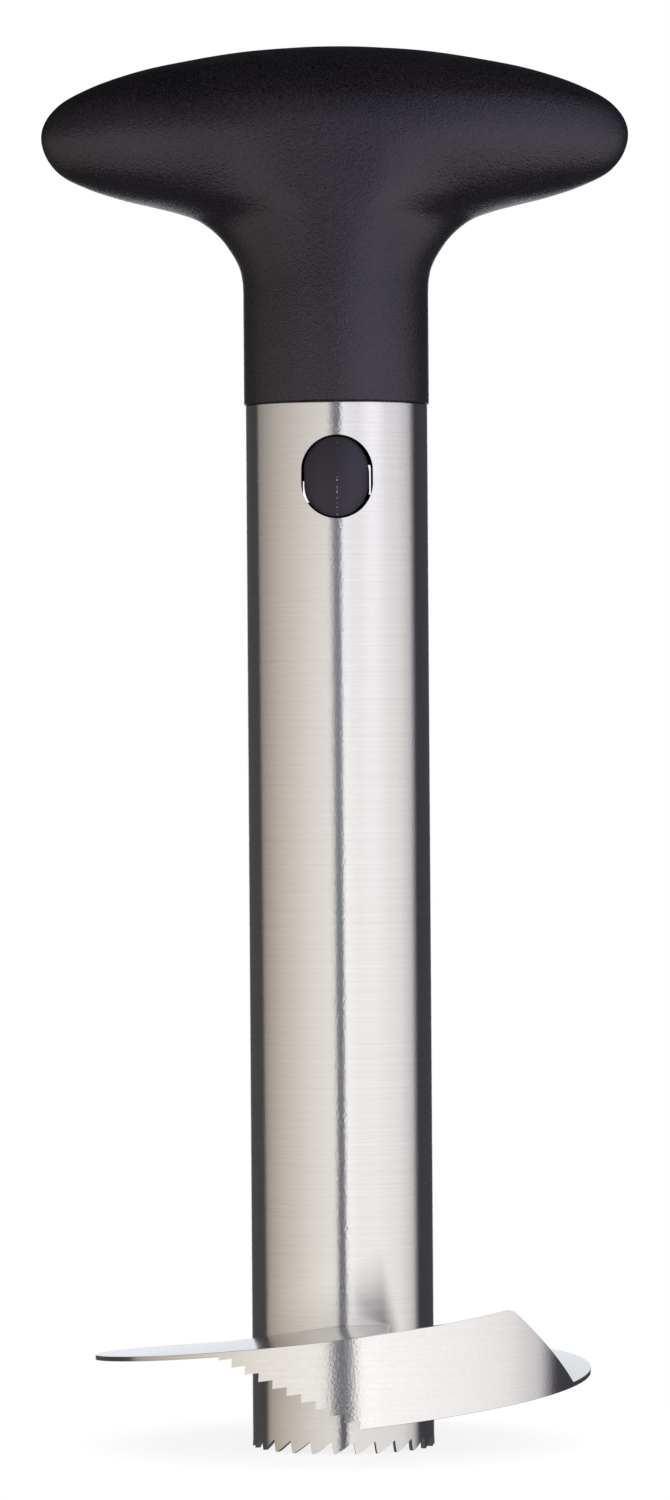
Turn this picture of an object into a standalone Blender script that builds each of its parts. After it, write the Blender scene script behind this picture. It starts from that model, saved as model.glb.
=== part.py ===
"""Pineapple corer and slicer: a toothed coring tube with a helical ring blade at its foot,
and a T handle that lifts off the tube when its two sprung buttons are pressed.

Metres, +Z up. The tube's axis is the Z axis, the tips of its teeth stand on z = 0, and the
front, with the blade's serrated wall, faces -Y. Angles are in degrees from +X, seen from
above and growing anticlockwise. The tool cuts when it is turned clockwise from above.
"""

from math import cos, hypot, pi, radians, sin, sqrt

import bmesh
import bpy

MM = 0.001

# Gap kept between pieces that touch
FIT = 0.3 * MM
# Length by which a cutter passes the surface that it opens
OVERRUN = 2.0 * MM
# Edges that turn by more than this are shaded sharp
SHARP_ANGLE = 35.0

# Coring tube
TUBE_RADIUS = 15.5 * MM
TUBE_WALL = 0.8 * MM
TUBE_LENGTH = 177.0 * MM
TUBE_TOOTH_COUNT = 26
TUBE_TOOTH_HEIGHT = 2.1 * MM
# Places along one tooth's pitch: the end of its steep face, of its tip flat, and its middle
TOOTH_FACE_SHARE = 0.05
TOOTH_FLAT_SHARE = 0.14
TOOTH_MIDDLE_SHARE = 0.57
# Turn of the whole ring of teeth, as a share of one pitch
TOOTH_PHASE_SHARE = 0.97

# Holes for the buttons, in the front and the rear of the tube
HOLE_WIDTH = 12.1 * MM
HOLE_HEIGHT = 14.1 * MM
HOLE_BELOW_TUBE_TOP = 12.6 * MM
ROUND_END_STEPS = 10

# Ring blade: one sheet, wound as one turn of a helix
SHEET = 0.8 * MM
BLADE_RADIUS = 42.3 * MM
BLADE_FLAT_HEIGHT = 14.2 * MM
FLAT_START_ANGLE = 45.0
FLAT_END_ANGLE = 120.0
LEAD_RIM_ANGLE = -86.0
LEAD_HUB_ANGLE = -60.0
TRAIL_RIM_ANGLE = 280.0
TRAIL_HUB_ANGLE = 300.0
LEAD_RIM_DROP = 6.4 * MM
TRAIL_RIM_RISE = 8.6 * MM
LEAD_POWER = 1.7
TRAIL_RIM_POWER = 1.8
# The hub stands higher than the rim, so the back of the blade is a shallow cone
HUB_ABOVE_RIM = 1.8 * MM
LEAD_HUB_DROP = 7.0 * MM
TRAIL_HUB_RISE = 5.6 * MM
TRAIL_HUB_START_ANGLE = 110.0
TRAIL_HUB_LEVEL_ANGLE = 267.0
TRAIL_HUB_POWER = 1.25
# Part of the turn over which the rulings swing from the slit back to radial
SLIT_FAN_ANGLE = 100.0
BLADE_COLUMNS = 61
BLADE_ROWS = 3

# Serrated wall, an upright strip on the rim between the two ends of the turn
WALL_THICKNESS = 0.75 * MM
# Small step by which the sheet stays inside the wall's outer faces
FOLD_STEP = 0.1 * MM
WALL_TIP_ANGLE = 240.9
WALL_TOOTH_COUNT = 11
WALL_TOOTH_ANGLE = 3.26
WALL_TOOTH_DROP = 1.1 * MM
WALL_TOOTH_UNDERCUT_ANGLE = 0.12
WALL_TOOTH_RELIEF = 0.38 * MM
# Slope of its top past the sheet, in length per degree
WALL_TOP_RISE_PER_DEGREE = 0.092 * MM
WALL_TOP_END_ANGLE = 311.7
WALL_FOOT_END_ANGLE = 337.2
WALL_PLAIN_COLUMNS = 8
WALL_END_COLUMNS = 6

# T handle: every section across its upright axis is an ellipse
STEM_RADIUS = 15.75 * MM
BAR_HALF_LENGTH = 50.0 * MM
BAR_HALF_DEPTH = 15.0 * MM
# Above the seam with the tube
HANDLE_HEIGHT = 60.8 * MM
# From the bar's tips up to its top, and down to where the stem starts to widen
CROWN_HEIGHT = 15.2 * MM
FILLET_HEIGHT = 26.8 * MM
# Underside from the stem to the bar's tips: share of the height, share of the spread
UNDERSIDE_SHARES = (
    (0.0, 0.0), (0.075, 0.003), (0.15, 0.014), (0.21, 0.034), (0.275, 0.064), (0.34, 0.101),
    (0.405, 0.152), (0.47, 0.226), (0.515, 0.324), (0.555, 0.444), (0.6, 0.591), (0.672, 0.764),
    (0.765, 0.906), (0.88, 0.977), (1.0, 1.0),
)
# Back of the bar from its tips to the top: share of the height, share of the half length
CROWN_SHARES = (
    (0.171, 0.987), (0.362, 0.9385), (0.546, 0.837), (0.73, 0.6735), (0.858, 0.488),
    (0.944, 0.32), (0.987, 0.16), (1.0, 0.08),
)
HANDLE_SIDES = 32
SKIN_THICKNESS = 1.6 * MM
CORE_WALL = 1.8 * MM

# Plug of the core, which goes down into the tube
PLUG_LENGTH = 27.0 * MM
PLUG_CHAMFER = 1.2 * MM
PLUG_ROOT_HEIGHT = 9.0 * MM
ROUND_SIDES = 32

# Release buttons and their channels through the plug
BUTTON_WIDTH = 11.1 * MM
BUTTON_HEIGHT = 13.4 * MM
BUTTON_BACK = 9.0 * MM
LIP_WIDTH = 7.4 * MM
LIP_HEIGHT = 16.8 * MM
LIP_THICKNESS = 1.6 * MM
CHANNEL_CLEARANCE = 0.2 * MM
PEG_RADIUS = 1.9 * MM
PEG_LENGTH = 4.5 * MM
SPRING_WALL_HALF = 1.2 * MM
# Drain windows through the spring wall, one on each side of the spring
WINDOW_INNER = 4.2 * MM
LEFT_WINDOW_OUTER = 5.8 * MM
LEFT_WINDOW_FOOT = -3.9 * MM
LEFT_WINDOW_TOP = -0.2 * MM
RIGHT_WINDOW_OUTER = 5.75 * MM
RIGHT_WINDOW_FOOT = -2.6 * MM
RIGHT_WINDOW_TOP = 2.5 * MM

# Button springs
SPRING_WIRE = 0.7 * MM
SPRING_COIL_RADIUS = 2.65 * MM
SPRING_TURNS = 5
SPRING_POINTS_PER_TURN = 9

# Screws that hold the core halves together
SCREW_RADIUS = 1.4 * MM
SCREW_LENGTH = 11.5 * MM
SCREW_HEAD_RADIUS = 2.6 * MM
SCREW_HEAD_HEIGHT = 1.8 * MM
SCREW_HEAD_BEVEL = 0.4 * MM
SCREW_SEAT = 6.0 * MM
SCREW_SIDES = 16
BOSS_RADIUS = 4.4 * MM
# Places of the screws: along half the bar, and up the handle
BAR_SCREW_SHARE = 0.56
STEM_SCREW_SHARE = 0.32

# Values that follow from the sizes above
TUBE_BORE = TUBE_RADIUS - TUBE_WALL
HOLE_HEIGHT_ABOVE_TIPS = TUBE_LENGTH - HOLE_BELOW_TUBE_TOP
SEAM_HEIGHT = TUBE_LENGTH + FIT
BUTTON_DROP = SEAM_HEIGHT - HOLE_HEIGHT_ABOVE_TIPS
PLUG_RADIUS = TUBE_BORE - FIT
BLADE_HUB_RADIUS = TUBE_RADIUS + FIT
SHEET_RIM_RADIUS = BLADE_RADIUS - FOLD_STEP
BAR_TIP_HEIGHT = HANDLE_HEIGHT - CROWN_HEIGHT
FILLET_START = BAR_TIP_HEIGHT - FILLET_HEIGHT
BAR_SCREW_OFFSET = BAR_HALF_LENGTH * BAR_SCREW_SHARE
STEM_SCREW_HEIGHT = HANDLE_HEIGHT * STEM_SCREW_SHARE


def clear_scene():
    for item in list(bpy.data.objects):
        bpy.data.objects.remove(item, do_unlink=True)


def make_material(name, colour, roughness, metallic):
    material = bpy.data.materials.new(name)
    material.use_nodes = True
    shader = material.node_tree.nodes["Principled BSDF"]
    shader.inputs["Base Color"].default_value = (*colour, 1.0)
    shader.inputs["Roughness"].default_value = roughness
    shader.inputs["Metallic"].default_value = metallic
    return material


def place(item, parent=None, location=(0, 0, 0), turn=0):
    bpy.context.scene.collection.objects.link(item)
    item.parent = parent
    item.location = location
    item.rotation_euler = (0, 0, turn)
    return item


def make_piece(name, shape, material=None, parent=None, location=(0, 0, 0), turn=0):
    """An object made from a bmesh, shaded smooth apart from its sharp edges."""
    bmesh.ops.recalc_face_normals(shape, faces=shape.faces)
    mesh = bpy.data.meshes.new(name)
    shape.to_mesh(mesh)
    shape.free()
    mesh.shade_smooth()
    mesh.set_sharp_from_angle(angle=radians(SHARP_ANGLE))
    if material is not None:
        mesh.materials.append(material)
    return place(bpy.data.objects.new(name, mesh), parent, location, turn)


def make_guide(name, shape, parent=None, location=(0, 0, 0)):
    """A shape that only cuts or joins other pieces."""
    guide = make_piece(name, shape, None, parent, location)
    guide.hide_render = True
    guide.display_type = "WIRE"
    return guide


def combine(piece, guide, operation):
    change = piece.modifiers.new(guide.name, "BOOLEAN")
    change.operation = operation
    change.solver = "EXACT"
    change.object = guide


def ring_points(radius, height, sides):
    """A ring round the Z axis, with flats and not corners on the X and Y axes."""
    angles = [2 * pi * (i + 0.5) / sides for i in range(sides)]
    return [(radius * cos(angle), radius * sin(angle), height) for angle in angles]


def add_ring_stack(shape, rings, cap_first=True, cap_last=True):
    """Joins rings of points, one above the other, into a skin, and caps its ends."""
    loops = [[shape.verts.new(point) for point in ring] for ring in rings]
    for lower, upper in zip(loops, loops[1:]):
        for i in range(len(lower)):
            j = (i + 1) % len(lower)
            shape.faces.new((lower[i], lower[j], upper[j], upper[i]))
    if cap_first:
        shape.faces.new(reversed(loops[0]))
    if cap_last:
        shape.faces.new(loops[-1])
    return loops


def add_turned(shape, profile, sides, centre=(0, 0, 0), along_y=False):
    """A closed turned body from (radius, distance along the axis) pairs."""
    rings = []
    for radius, distance in profile:
        ring = ring_points(radius, distance, sides)
        if along_y:
            ring = [(x, z, -y) for x, y, z in ring]
        rings.append([(x + centre[0], y + centre[1], z + centre[2]) for x, y, z in ring])
    add_ring_stack(shape, rings)


def add_prism(shape, outline, near, far):
    """Pushes an (x, z) outline from y = near to y = far."""
    rings = [[(x, y, z) for x, z in outline] for y in (near, far)]
    add_ring_stack(shape, rings)


def add_box(shape, low, high):
    outline = ((low[0], low[2]), (high[0], low[2]), (high[0], high[2]), (low[0], high[2]))
    add_prism(shape, outline, low[1], high[1])


def oval_outline(width, height):
    """Straight sides and half-round ends, above and below the centre."""
    radius = width / 2
    straight = (height - width) / 2
    outline = []
    for sign, start in ((1, 0), (-1, pi)):
        for i in range(ROUND_END_STEPS + 1):
            angle = start + pi * i / ROUND_END_STEPS
            outline.append((radius * cos(angle), sign * straight + radius * sin(angle)))
    return outline


def polar(radius, angle, height):
    return (radius * cos(radians(angle)), radius * sin(radians(angle)), height)


# Coring tube

def tube_foot():
    """Angle and height of each point along the toothed edge."""
    pitch = 360 / TUBE_TOOTH_COUNT
    slope_start = 1 - TOOTH_FLAT_SHARE
    middle_height = TUBE_TOOTH_HEIGHT * (TOOTH_MIDDLE_SHARE - TOOTH_FLAT_SHARE) / slope_start
    tooth = (
        (0.0, TUBE_TOOTH_HEIGHT),
        (TOOTH_FACE_SHARE, 0.0),
        (TOOTH_FLAT_SHARE, 0.0),
        (TOOTH_MIDDLE_SHARE, middle_height),
    )
    points = []
    for i in range(TUBE_TOOTH_COUNT):
        for share, height in tooth:
            points.append((pitch * (i + share + TOOTH_PHASE_SHARE), height))
    return points


def make_tube(steel):
    shape = bmesh.new()
    foot = tube_foot()
    outer_foot = [polar(TUBE_RADIUS, angle, height) for angle, height in foot]
    outer_top = [polar(TUBE_RADIUS, angle, TUBE_LENGTH) for angle, height in foot]
    inner_top = [polar(TUBE_BORE, angle, TUBE_LENGTH) for angle, height in foot]
    inner_foot = [polar(TUBE_BORE, angle, height) for angle, height in foot]
    loops = add_ring_stack(shape, (outer_foot, outer_top, inner_top, inner_foot), False, False)
    for i in range(len(foot)):
        j = (i + 1) % len(foot)
        shape.faces.new((loops[3][i], loops[3][j], loops[0][j], loops[0][i]))
    tube = make_piece("coring_tube", shape, steel)

    cutter = bmesh.new()
    reach = TUBE_RADIUS + OVERRUN
    add_prism(cutter, oval_outline(HOLE_WIDTH, HOLE_HEIGHT), -reach, reach)
    level = (0, 0, HOLE_HEIGHT_ABOVE_TIPS)
    combine(tube, make_guide("hole_cutter", cutter, None, level), "DIFFERENCE")
    return tube


# Ring blade

def rim_height(angle):
    """Height of the sheet's top at the rim, above the flat stretch at the back."""
    if angle < FLAT_START_ANGLE:
        share = (FLAT_START_ANGLE - angle) / (FLAT_START_ANGLE - LEAD_RIM_ANGLE)
        return -LEAD_RIM_DROP * share ** LEAD_POWER
    if angle > FLAT_END_ANGLE:
        share = (angle - FLAT_END_ANGLE) / (TRAIL_RIM_ANGLE - FLAT_END_ANGLE)
        return TRAIL_RIM_RISE * share ** TRAIL_RIM_POWER
    return 0.0


def hub_height(angle):
    """The same at the hub, where the end of the turn runs level."""
    if angle < FLAT_START_ANGLE:
        share = (FLAT_START_ANGLE - angle) / (FLAT_START_ANGLE - LEAD_HUB_ANGLE)
        return HUB_ABOVE_RIM - LEAD_HUB_DROP * share ** LEAD_POWER
    if angle > TRAIL_HUB_START_ANGLE:
        turn = min(angle, TRAIL_HUB_LEVEL_ANGLE) - TRAIL_HUB_START_ANGLE
        share = turn / (TRAIL_HUB_LEVEL_ANGLE - TRAIL_HUB_START_ANGLE)
        return HUB_ABOVE_RIM + TRAIL_HUB_RISE * share ** TRAIL_HUB_POWER
    return HUB_ABOVE_RIM


def hub_angle(rim_angle):
    """Where the ruling from a place on the rim meets the hub."""
    lead = max(0.0, 1 - (rim_angle - LEAD_RIM_ANGLE) / SLIT_FAN_ANGLE) ** 2
    trail = max(0.0, 1 - (TRAIL_RIM_ANGLE - rim_angle) / SLIT_FAN_ANGLE) ** 2
    lead_swing = LEAD_HUB_ANGLE - LEAD_RIM_ANGLE
    trail_swing = TRAIL_HUB_ANGLE - TRAIL_RIM_ANGLE
    return rim_angle + lead_swing * lead + trail_swing * trail


def blade_sheet():
    """Straight rulings from hub to rim, thickened downwards."""
    shape = bmesh.new()
    turn = TRAIL_RIM_ANGLE - LEAD_RIM_ANGLE
    columns = []
    for i in range(BLADE_COLUMNS + 1):
        at_rim = LEAD_RIM_ANGLE + turn * i / BLADE_COLUMNS
        at_hub = hub_angle(at_rim)
        hub = polar(BLADE_HUB_RADIUS, at_hub, hub_height(at_hub))
        rim = polar(SHEET_RIM_RADIUS, at_rim, rim_height(at_rim))
        column = []
        for k in range(BLADE_ROWS + 1):
            share = k / BLADE_ROWS
            column.append(shape.verts.new([a + (b - a) * share for a, b in zip(hub, rim)]))
        columns.append(column)
    for left, right in zip(columns, columns[1:]):
        for k in range(BLADE_ROWS):
            shape.faces.new((left[k], left[k + 1], right[k + 1], right[k]))
    thicken(shape, lambda point: (point[0], point[1], point[2] - SHEET))
    return shape


def thicken(shape, moved):
    """Gives an open skin its thickness: a copy of it goes where moved says."""
    copy = bmesh.ops.extrude_face_region(shape, geom=shape.faces[:], use_keep_orig=True)
    for part in copy["geom"]:
        if isinstance(part, bmesh.types.BMVert):
            part.co = moved(part.co)


def wall_foot(angle):
    return rim_height(angle - 360) - SHEET + FOLD_STEP


def wall_top(angle):
    """Just under the sheet's top as far as the sheet goes, then with a slope of its own."""
    past_sheet = max(0.0, angle - TRAIL_RIM_ANGLE)
    return rim_height(angle - past_sheet) - FOLD_STEP + WALL_TOP_RISE_PER_DEGREE * past_sheet


def wall_outline():
    """Faces of the wall, unrolled: lists of (angle, height), from the first tooth round."""
    last_tip = WALL_TIP_ANGLE + WALL_TOOTH_ANGLE * (WALL_TOOTH_COUNT - 1)
    tip_drop = WALL_TOOTH_DROP * (WALL_TOOTH_COUNT - 1)
    first_height = wall_foot(last_tip) + tip_drop
    faces = []
    start = (WALL_TIP_ANGLE + WALL_TOOTH_UNDERCUT_ANGLE, None)
    for i in range(WALL_TOOTH_COUNT):
        tip = (WALL_TIP_ANGLE + WALL_TOOTH_ANGLE * i, first_height - WALL_TOOTH_DROP * i)
        if i < WALL_TOOTH_COUNT - 1:
            end_angle = tip[0] + WALL_TOOTH_ANGLE + WALL_TOOTH_UNDERCUT_ANGLE
            end = (end_angle, tip[1] + WALL_TOOTH_RELIEF)
        else:
            end = (tip[0] + WALL_TOOTH_ANGLE, wall_foot(tip[0] + WALL_TOOTH_ANGLE))
        face = [tip, end, (end[0], wall_top(end[0])), (start[0], wall_top(start[0]))]
        if start[1] is not None:
            face.append(start)
        faces.append(face)
        start = end

    plain_start = start[0]
    end_top = wall_top(WALL_TOP_END_ANGLE)
    end_foot = wall_foot(WALL_FOOT_END_ANGLE)
    end_spread = WALL_FOOT_END_ANGLE - WALL_TOP_END_ANGLE
    stations = []
    for i in range(WALL_PLAIN_COLUMNS + 1):
        angle = plain_start + (WALL_TOP_END_ANGLE - plain_start) * i / WALL_PLAIN_COLUMNS
        stations.append((angle, wall_foot(angle), wall_top(angle)))
    for i in range(1, WALL_END_COLUMNS):
        share = i / WALL_END_COLUMNS
        angle = WALL_TOP_END_ANGLE + end_spread * share
        stations.append((angle, wall_foot(angle), end_top + (end_foot - end_top) * share))
    for left, right in zip(stations, stations[1:]):
        faces.append([
            (left[0], left[1]), (right[0], right[1]), (right[0], right[2]), (left[0], left[2]),
        ])
    last = stations[-1]
    faces.append([(last[0], last[1]), (WALL_FOOT_END_ANGLE, end_foot), (last[0], last[2])])
    return faces


def blade_wall():
    """The unrolled wall, wrapped on the rim and thickened inwards."""
    shape = bmesh.new()
    corners = {}
    for face in wall_outline():
        loop = []
        for corner in face:
            if corner not in corners:
                corners[corner] = shape.verts.new(polar(BLADE_RADIUS, *corner))
            loop.append(corners[corner])
        shape.faces.new(loop)
    inward = 1 - WALL_THICKNESS / BLADE_RADIUS
    thicken(shape, lambda point: (point[0] * inward, point[1] * inward, point[2]))
    return shape


def make_blade(steel):
    place_at = (0, 0, BLADE_FLAT_HEIGHT)
    blade = make_piece("slicing_blade", blade_sheet(), steel, None, place_at)
    combine(blade, make_guide("wall_form", blade_wall(), None, place_at), "UNION")
    return blade


# T handle

def handle_stations(foot):
    """Half width, half depth and height above the seam of each section, from the foot up."""
    stations = [(STEM_RADIUS, STEM_RADIUS, foot)]
    spread = BAR_HALF_LENGTH - STEM_RADIUS
    thinning = BAR_HALF_DEPTH - STEM_RADIUS
    for height_share, width_share in UNDERSIDE_SHARES:
        stations.append((
            STEM_RADIUS + spread * width_share,
            STEM_RADIUS + thinning * height_share,
            FILLET_START + FILLET_HEIGHT * height_share,
        ))
    for height_share, width_share in CROWN_SHARES:
        stations.append((
            BAR_HALF_LENGTH * width_share,
            BAR_HALF_DEPTH * width_share,
            BAR_TIP_HEIGHT + CROWN_HEIGHT * height_share,
        ))
    return stations


def inset_ring(before, here, after, inset):
    """The section here, moved square to the surface by inset, inwards."""
    width, depth, height = here
    run = [b - a for a, b in zip(before, after)]
    ring = []
    for i in range(HANDLE_SIDES):
        across = cos(2 * pi * i / HANDLE_SIDES)
        along = sin(2 * pi * i / HANDLE_SIDES)
        slope = [
            across / width * run[2],
            along / depth * run[2],
            -(across ** 2 * run[0] / width + along ** 2 * run[1] / depth),
        ]
        size = sqrt(sum(part ** 2 for part in slope))
        ring.append((
            width * across - inset * slope[0] / size,
            depth * along - inset * slope[1] / size,
            height - inset * slope[2] / size,
        ))
    return ring


def handle_rings(inset, foot):
    stations = handle_stations(foot)
    rings = []
    for i, here in enumerate(stations):
        before = stations[max(i - 1, 0)]
        after = stations[min(i + 1, len(stations) - 1)]
        rings.append(inset_ring(before, here, after, inset))
    return rings


def handle_shell(outer_inset, inner_inset, foot):
    """A shell that follows the handle's form, open at the stem's foot."""
    shape = bmesh.new()
    outer = add_ring_stack(shape, handle_rings(outer_inset, foot), False, True)
    inner = add_ring_stack(shape, handle_rings(inner_inset, foot), False, True)
    for i in range(HANDLE_SIDES):
        j = (i + 1) % HANDLE_SIDES
        shape.faces.new((outer[0][i], outer[0][j], inner[0][j], inner[0][i]))
    return shape


def make_skin(seat, grip):
    shape = handle_shell(0.0, SKIN_THICKNESS, 0.0)
    return make_piece("grip_skin", shape, grip, seat)


def screw_places():
    return (
        ("left", (-BAR_SCREW_OFFSET, 0, BAR_TIP_HEIGHT)),
        ("right", (BAR_SCREW_OFFSET, 0, BAR_TIP_HEIGHT)),
        ("stem", (0, 0, STEM_SCREW_HEIGHT)),
    )


def core_forms(seat):
    """Shapes that both halves of the core are joined with."""
    plug = bmesh.new()
    root_radius = STEM_RADIUS - SKIN_THICKNESS - FIT - CORE_WALL / 2
    shoulder = -FIT
    add_turned(plug, (
        (PLUG_RADIUS - PLUG_CHAMFER, -PLUG_LENGTH - FIT),
        (PLUG_RADIUS, PLUG_CHAMFER - PLUG_LENGTH - FIT),
        (PLUG_RADIUS, shoulder),
        (root_radius, shoulder),
        (root_radius, PLUG_ROOT_HEIGHT),
    ), ROUND_SIDES)

    bosses = bmesh.new()
    reach = STEM_RADIUS + OVERRUN
    for name, centre in screw_places():
        add_turned(bosses, ((BOSS_RADIUS, -reach), (BOSS_RADIUS, reach)), SCREW_SIDES, centre, True)
    boss_form = make_guide("boss_form", bosses, seat)
    middle_of_wall = bmesh.new()
    add_ring_stack(middle_of_wall, handle_rings(SKIN_THICKNESS + FIT + CORE_WALL / 2, 0.0))
    combine(boss_form, make_guide("boss_end_form", middle_of_wall, seat), "INTERSECT")
    return make_guide("plug_form", plug, seat), boss_form


def core_cutters(seat):
    """Shapes that both halves of the core are cut by."""
    holes = bmesh.new()
    for name, centre in screw_places():
        add_turned(holes, (
            (SCREW_HEAD_RADIUS + FIT, -PLUG_RADIUS - OVERRUN),
            (SCREW_HEAD_RADIUS + FIT, -SCREW_SEAT),
            (SCREW_RADIUS + FIT, -SCREW_SEAT),
            (SCREW_RADIUS + FIT, SCREW_LENGTH - SCREW_SEAT + FIT),
        ), SCREW_SIDES, centre, True)

    channels = bmesh.new()
    slots = bmesh.new()
    outline = oval_outline(HOLE_WIDTH + 2 * CHANNEL_CLEARANCE, HOLE_HEIGHT + 2 * CHANNEL_CLEARANCE)
    slot_half_width = LIP_WIDTH / 2 + FIT
    slot_half_height = LIP_HEIGHT / 2 + FIT
    lip_front = BUTTON_BACK + LIP_THICKNESS + FIT
    for side in (-1, 1):
        ends = sorted((side * SPRING_WALL_HALF, side * (PLUG_RADIUS + OVERRUN)))
        add_prism(channels, outline, *ends)
        ends = sorted((side * SPRING_WALL_HALF, side * lip_front))
        add_box(slots, (-slot_half_width, ends[0], -slot_half_height),
                (slot_half_width, ends[1], slot_half_height))

    windows = bmesh.new()
    reach = SPRING_WALL_HALF + OVERRUN
    add_box(windows, (-LEFT_WINDOW_OUTER, -reach, LEFT_WINDOW_FOOT),
            (-WINDOW_INNER, reach, LEFT_WINDOW_TOP))
    add_box(windows, (WINDOW_INNER, -reach, RIGHT_WINDOW_FOOT),
            (RIGHT_WINDOW_OUTER, reach, RIGHT_WINDOW_TOP))

    button_level = (0, 0, -BUTTON_DROP)
    return (
        make_guide("screw_hole_cutter", holes, seat),
        make_guide("button_channel_cutter", channels, seat, button_level),
        make_guide("lip_slot_cutter", slots, seat, button_level),
        make_guide("drain_window_cutter", windows, seat, button_level),
    )


def make_core_half(name, side, forms, cutters, seat, plastic):
    """One half of the core, in front of (side -1) or behind (side 1) the parting plane."""
    inset = SKIN_THICKNESS + FIT
    shell = handle_shell(inset, inset + CORE_WALL, -PLUG_LENGTH / 2)
    half = make_piece(name, shell, plastic, seat)
    space = bmesh.new()
    reach = BAR_HALF_LENGTH + OVERRUN
    near, far = sorted((side * FIT / 2, side * (STEM_RADIUS + OVERRUN)))
    add_box(space, (-reach, near, -PLUG_LENGTH - OVERRUN), (reach, far, HANDLE_HEIGHT + OVERRUN))
    for form in forms:
        combine(half, form, "UNION")
    combine(half, make_guide(name + "_space", space, seat), "INTERSECT")
    for cutter in cutters:
        combine(half, cutter, "DIFFERENCE")
    return half


def make_screws(seat, steel):
    for name, centre in screw_places():
        shape = bmesh.new()
        add_turned(shape, (
            (SCREW_HEAD_RADIUS - SCREW_HEAD_BEVEL, -SCREW_HEAD_HEIGHT),
            (SCREW_HEAD_RADIUS, SCREW_HEAD_BEVEL - SCREW_HEAD_HEIGHT),
            (SCREW_HEAD_RADIUS, 0.0),
            (SCREW_RADIUS, 0.0),
            (SCREW_RADIUS, SCREW_LENGTH - SCREW_RADIUS),
            (SCREW_RADIUS / 2, SCREW_LENGTH),
        ), SCREW_SIDES, (0, 0, 0), True)
        seated = (centre[0], -SCREW_SEAT - FIT, centre[2])
        make_piece("core_screw_" + name, shape, steel, seat, seated)


# Release buttons

def button_form():
    """The button in its own frame: its face looks along -Y, and the tube's axis is x = y = 0."""
    shape = bmesh.new()
    outline = oval_outline(BUTTON_WIDTH, BUTTON_HEIGHT)
    add_prism(shape, outline, -PLUG_RADIUS - OVERRUN, -BUTTON_BACK)
    return shape


def button_guides():
    lips = bmesh.new()
    half_width = LIP_WIDTH / 2
    half_height = LIP_HEIGHT / 2
    add_box(lips, (-half_width, -BUTTON_BACK - LIP_THICKNESS, -half_height),
            (half_width, -BUTTON_BACK, half_height))
    peg = bmesh.new()
    root = -BUTTON_BACK - LIP_THICKNESS / 2
    tip = PEG_LENGTH - BUTTON_BACK
    add_turned(peg, ((PEG_RADIUS, root), (PEG_RADIUS, tip)), SCREW_SIDES, (0, 0, 0), True)
    face = bmesh.new()
    reach = LIP_HEIGHT / 2 + OVERRUN
    add_turned(face, ((PLUG_RADIUS, -reach), (PLUG_RADIUS, reach)), 2 * ROUND_SIDES)
    return lips, peg, face


def make_button(name, seat, turn, plastic):
    button = make_piece(name, button_form(), plastic, seat, (0, 0, -BUTTON_DROP), turn)
    lips, peg, face = button_guides()
    for kind, shape, operation in (
        ("lips", lips, "UNION"), ("peg", peg, "UNION"), ("face", face, "INTERSECT"),
    ):
        guide = make_guide(name + "_" + kind, shape, seat, (0, 0, -BUTTON_DROP))
        guide.rotation_euler = (0, 0, turn)
        combine(button, guide, operation)
    return button


def spring_points():
    """Centre line of the spring, wound round the button's line of travel."""
    start = FIT + SPRING_WIRE / 2 - BUTTON_BACK
    end = -SPRING_WALL_HALF - FIT - SPRING_WIRE / 2
    count = SPRING_TURNS * SPRING_POINTS_PER_TURN
    points = []
    for i in range(count + 1):
        angle = 2 * pi * i / SPRING_POINTS_PER_TURN
        along = start + (end - start) * i / count
        points.append((SPRING_COIL_RADIUS * cos(angle), along, SPRING_COIL_RADIUS * sin(angle)))
    return points


def least_spring_gap(points):
    """Least distance between neighbouring turns of the wire, surface to surface."""
    least = SPRING_COIL_RADIUS
    for i, here in enumerate(points):
        for there in points[i + SPRING_POINTS_PER_TURN - 2:]:
            flat = hypot(here[0] - there[0], here[2] - there[2])
            least = min(least, hypot(flat, here[1] - there[1]) - SPRING_WIRE)
    return least


def make_spring(name, seat, turn, steel):
    curve = bpy.data.curves.new(name, "CURVE")
    curve.dimensions = "3D"
    curve.bevel_depth = SPRING_WIRE / 2
    curve.bevel_resolution = 1
    curve.use_fill_caps = True
    points = spring_points()
    line = curve.splines.new("POLY")
    line.points.add(len(points) - 1)
    for target, point in zip(line.points, points):
        target.co = (*point, 1.0)
    curve.materials.append(steel)
    place(bpy.data.objects.new(name, curve), seat, (0, 0, -BUTTON_DROP), turn)
    print(name, "least gap between turns, mm:", round(least_spring_gap(points) / MM, 3))


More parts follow.
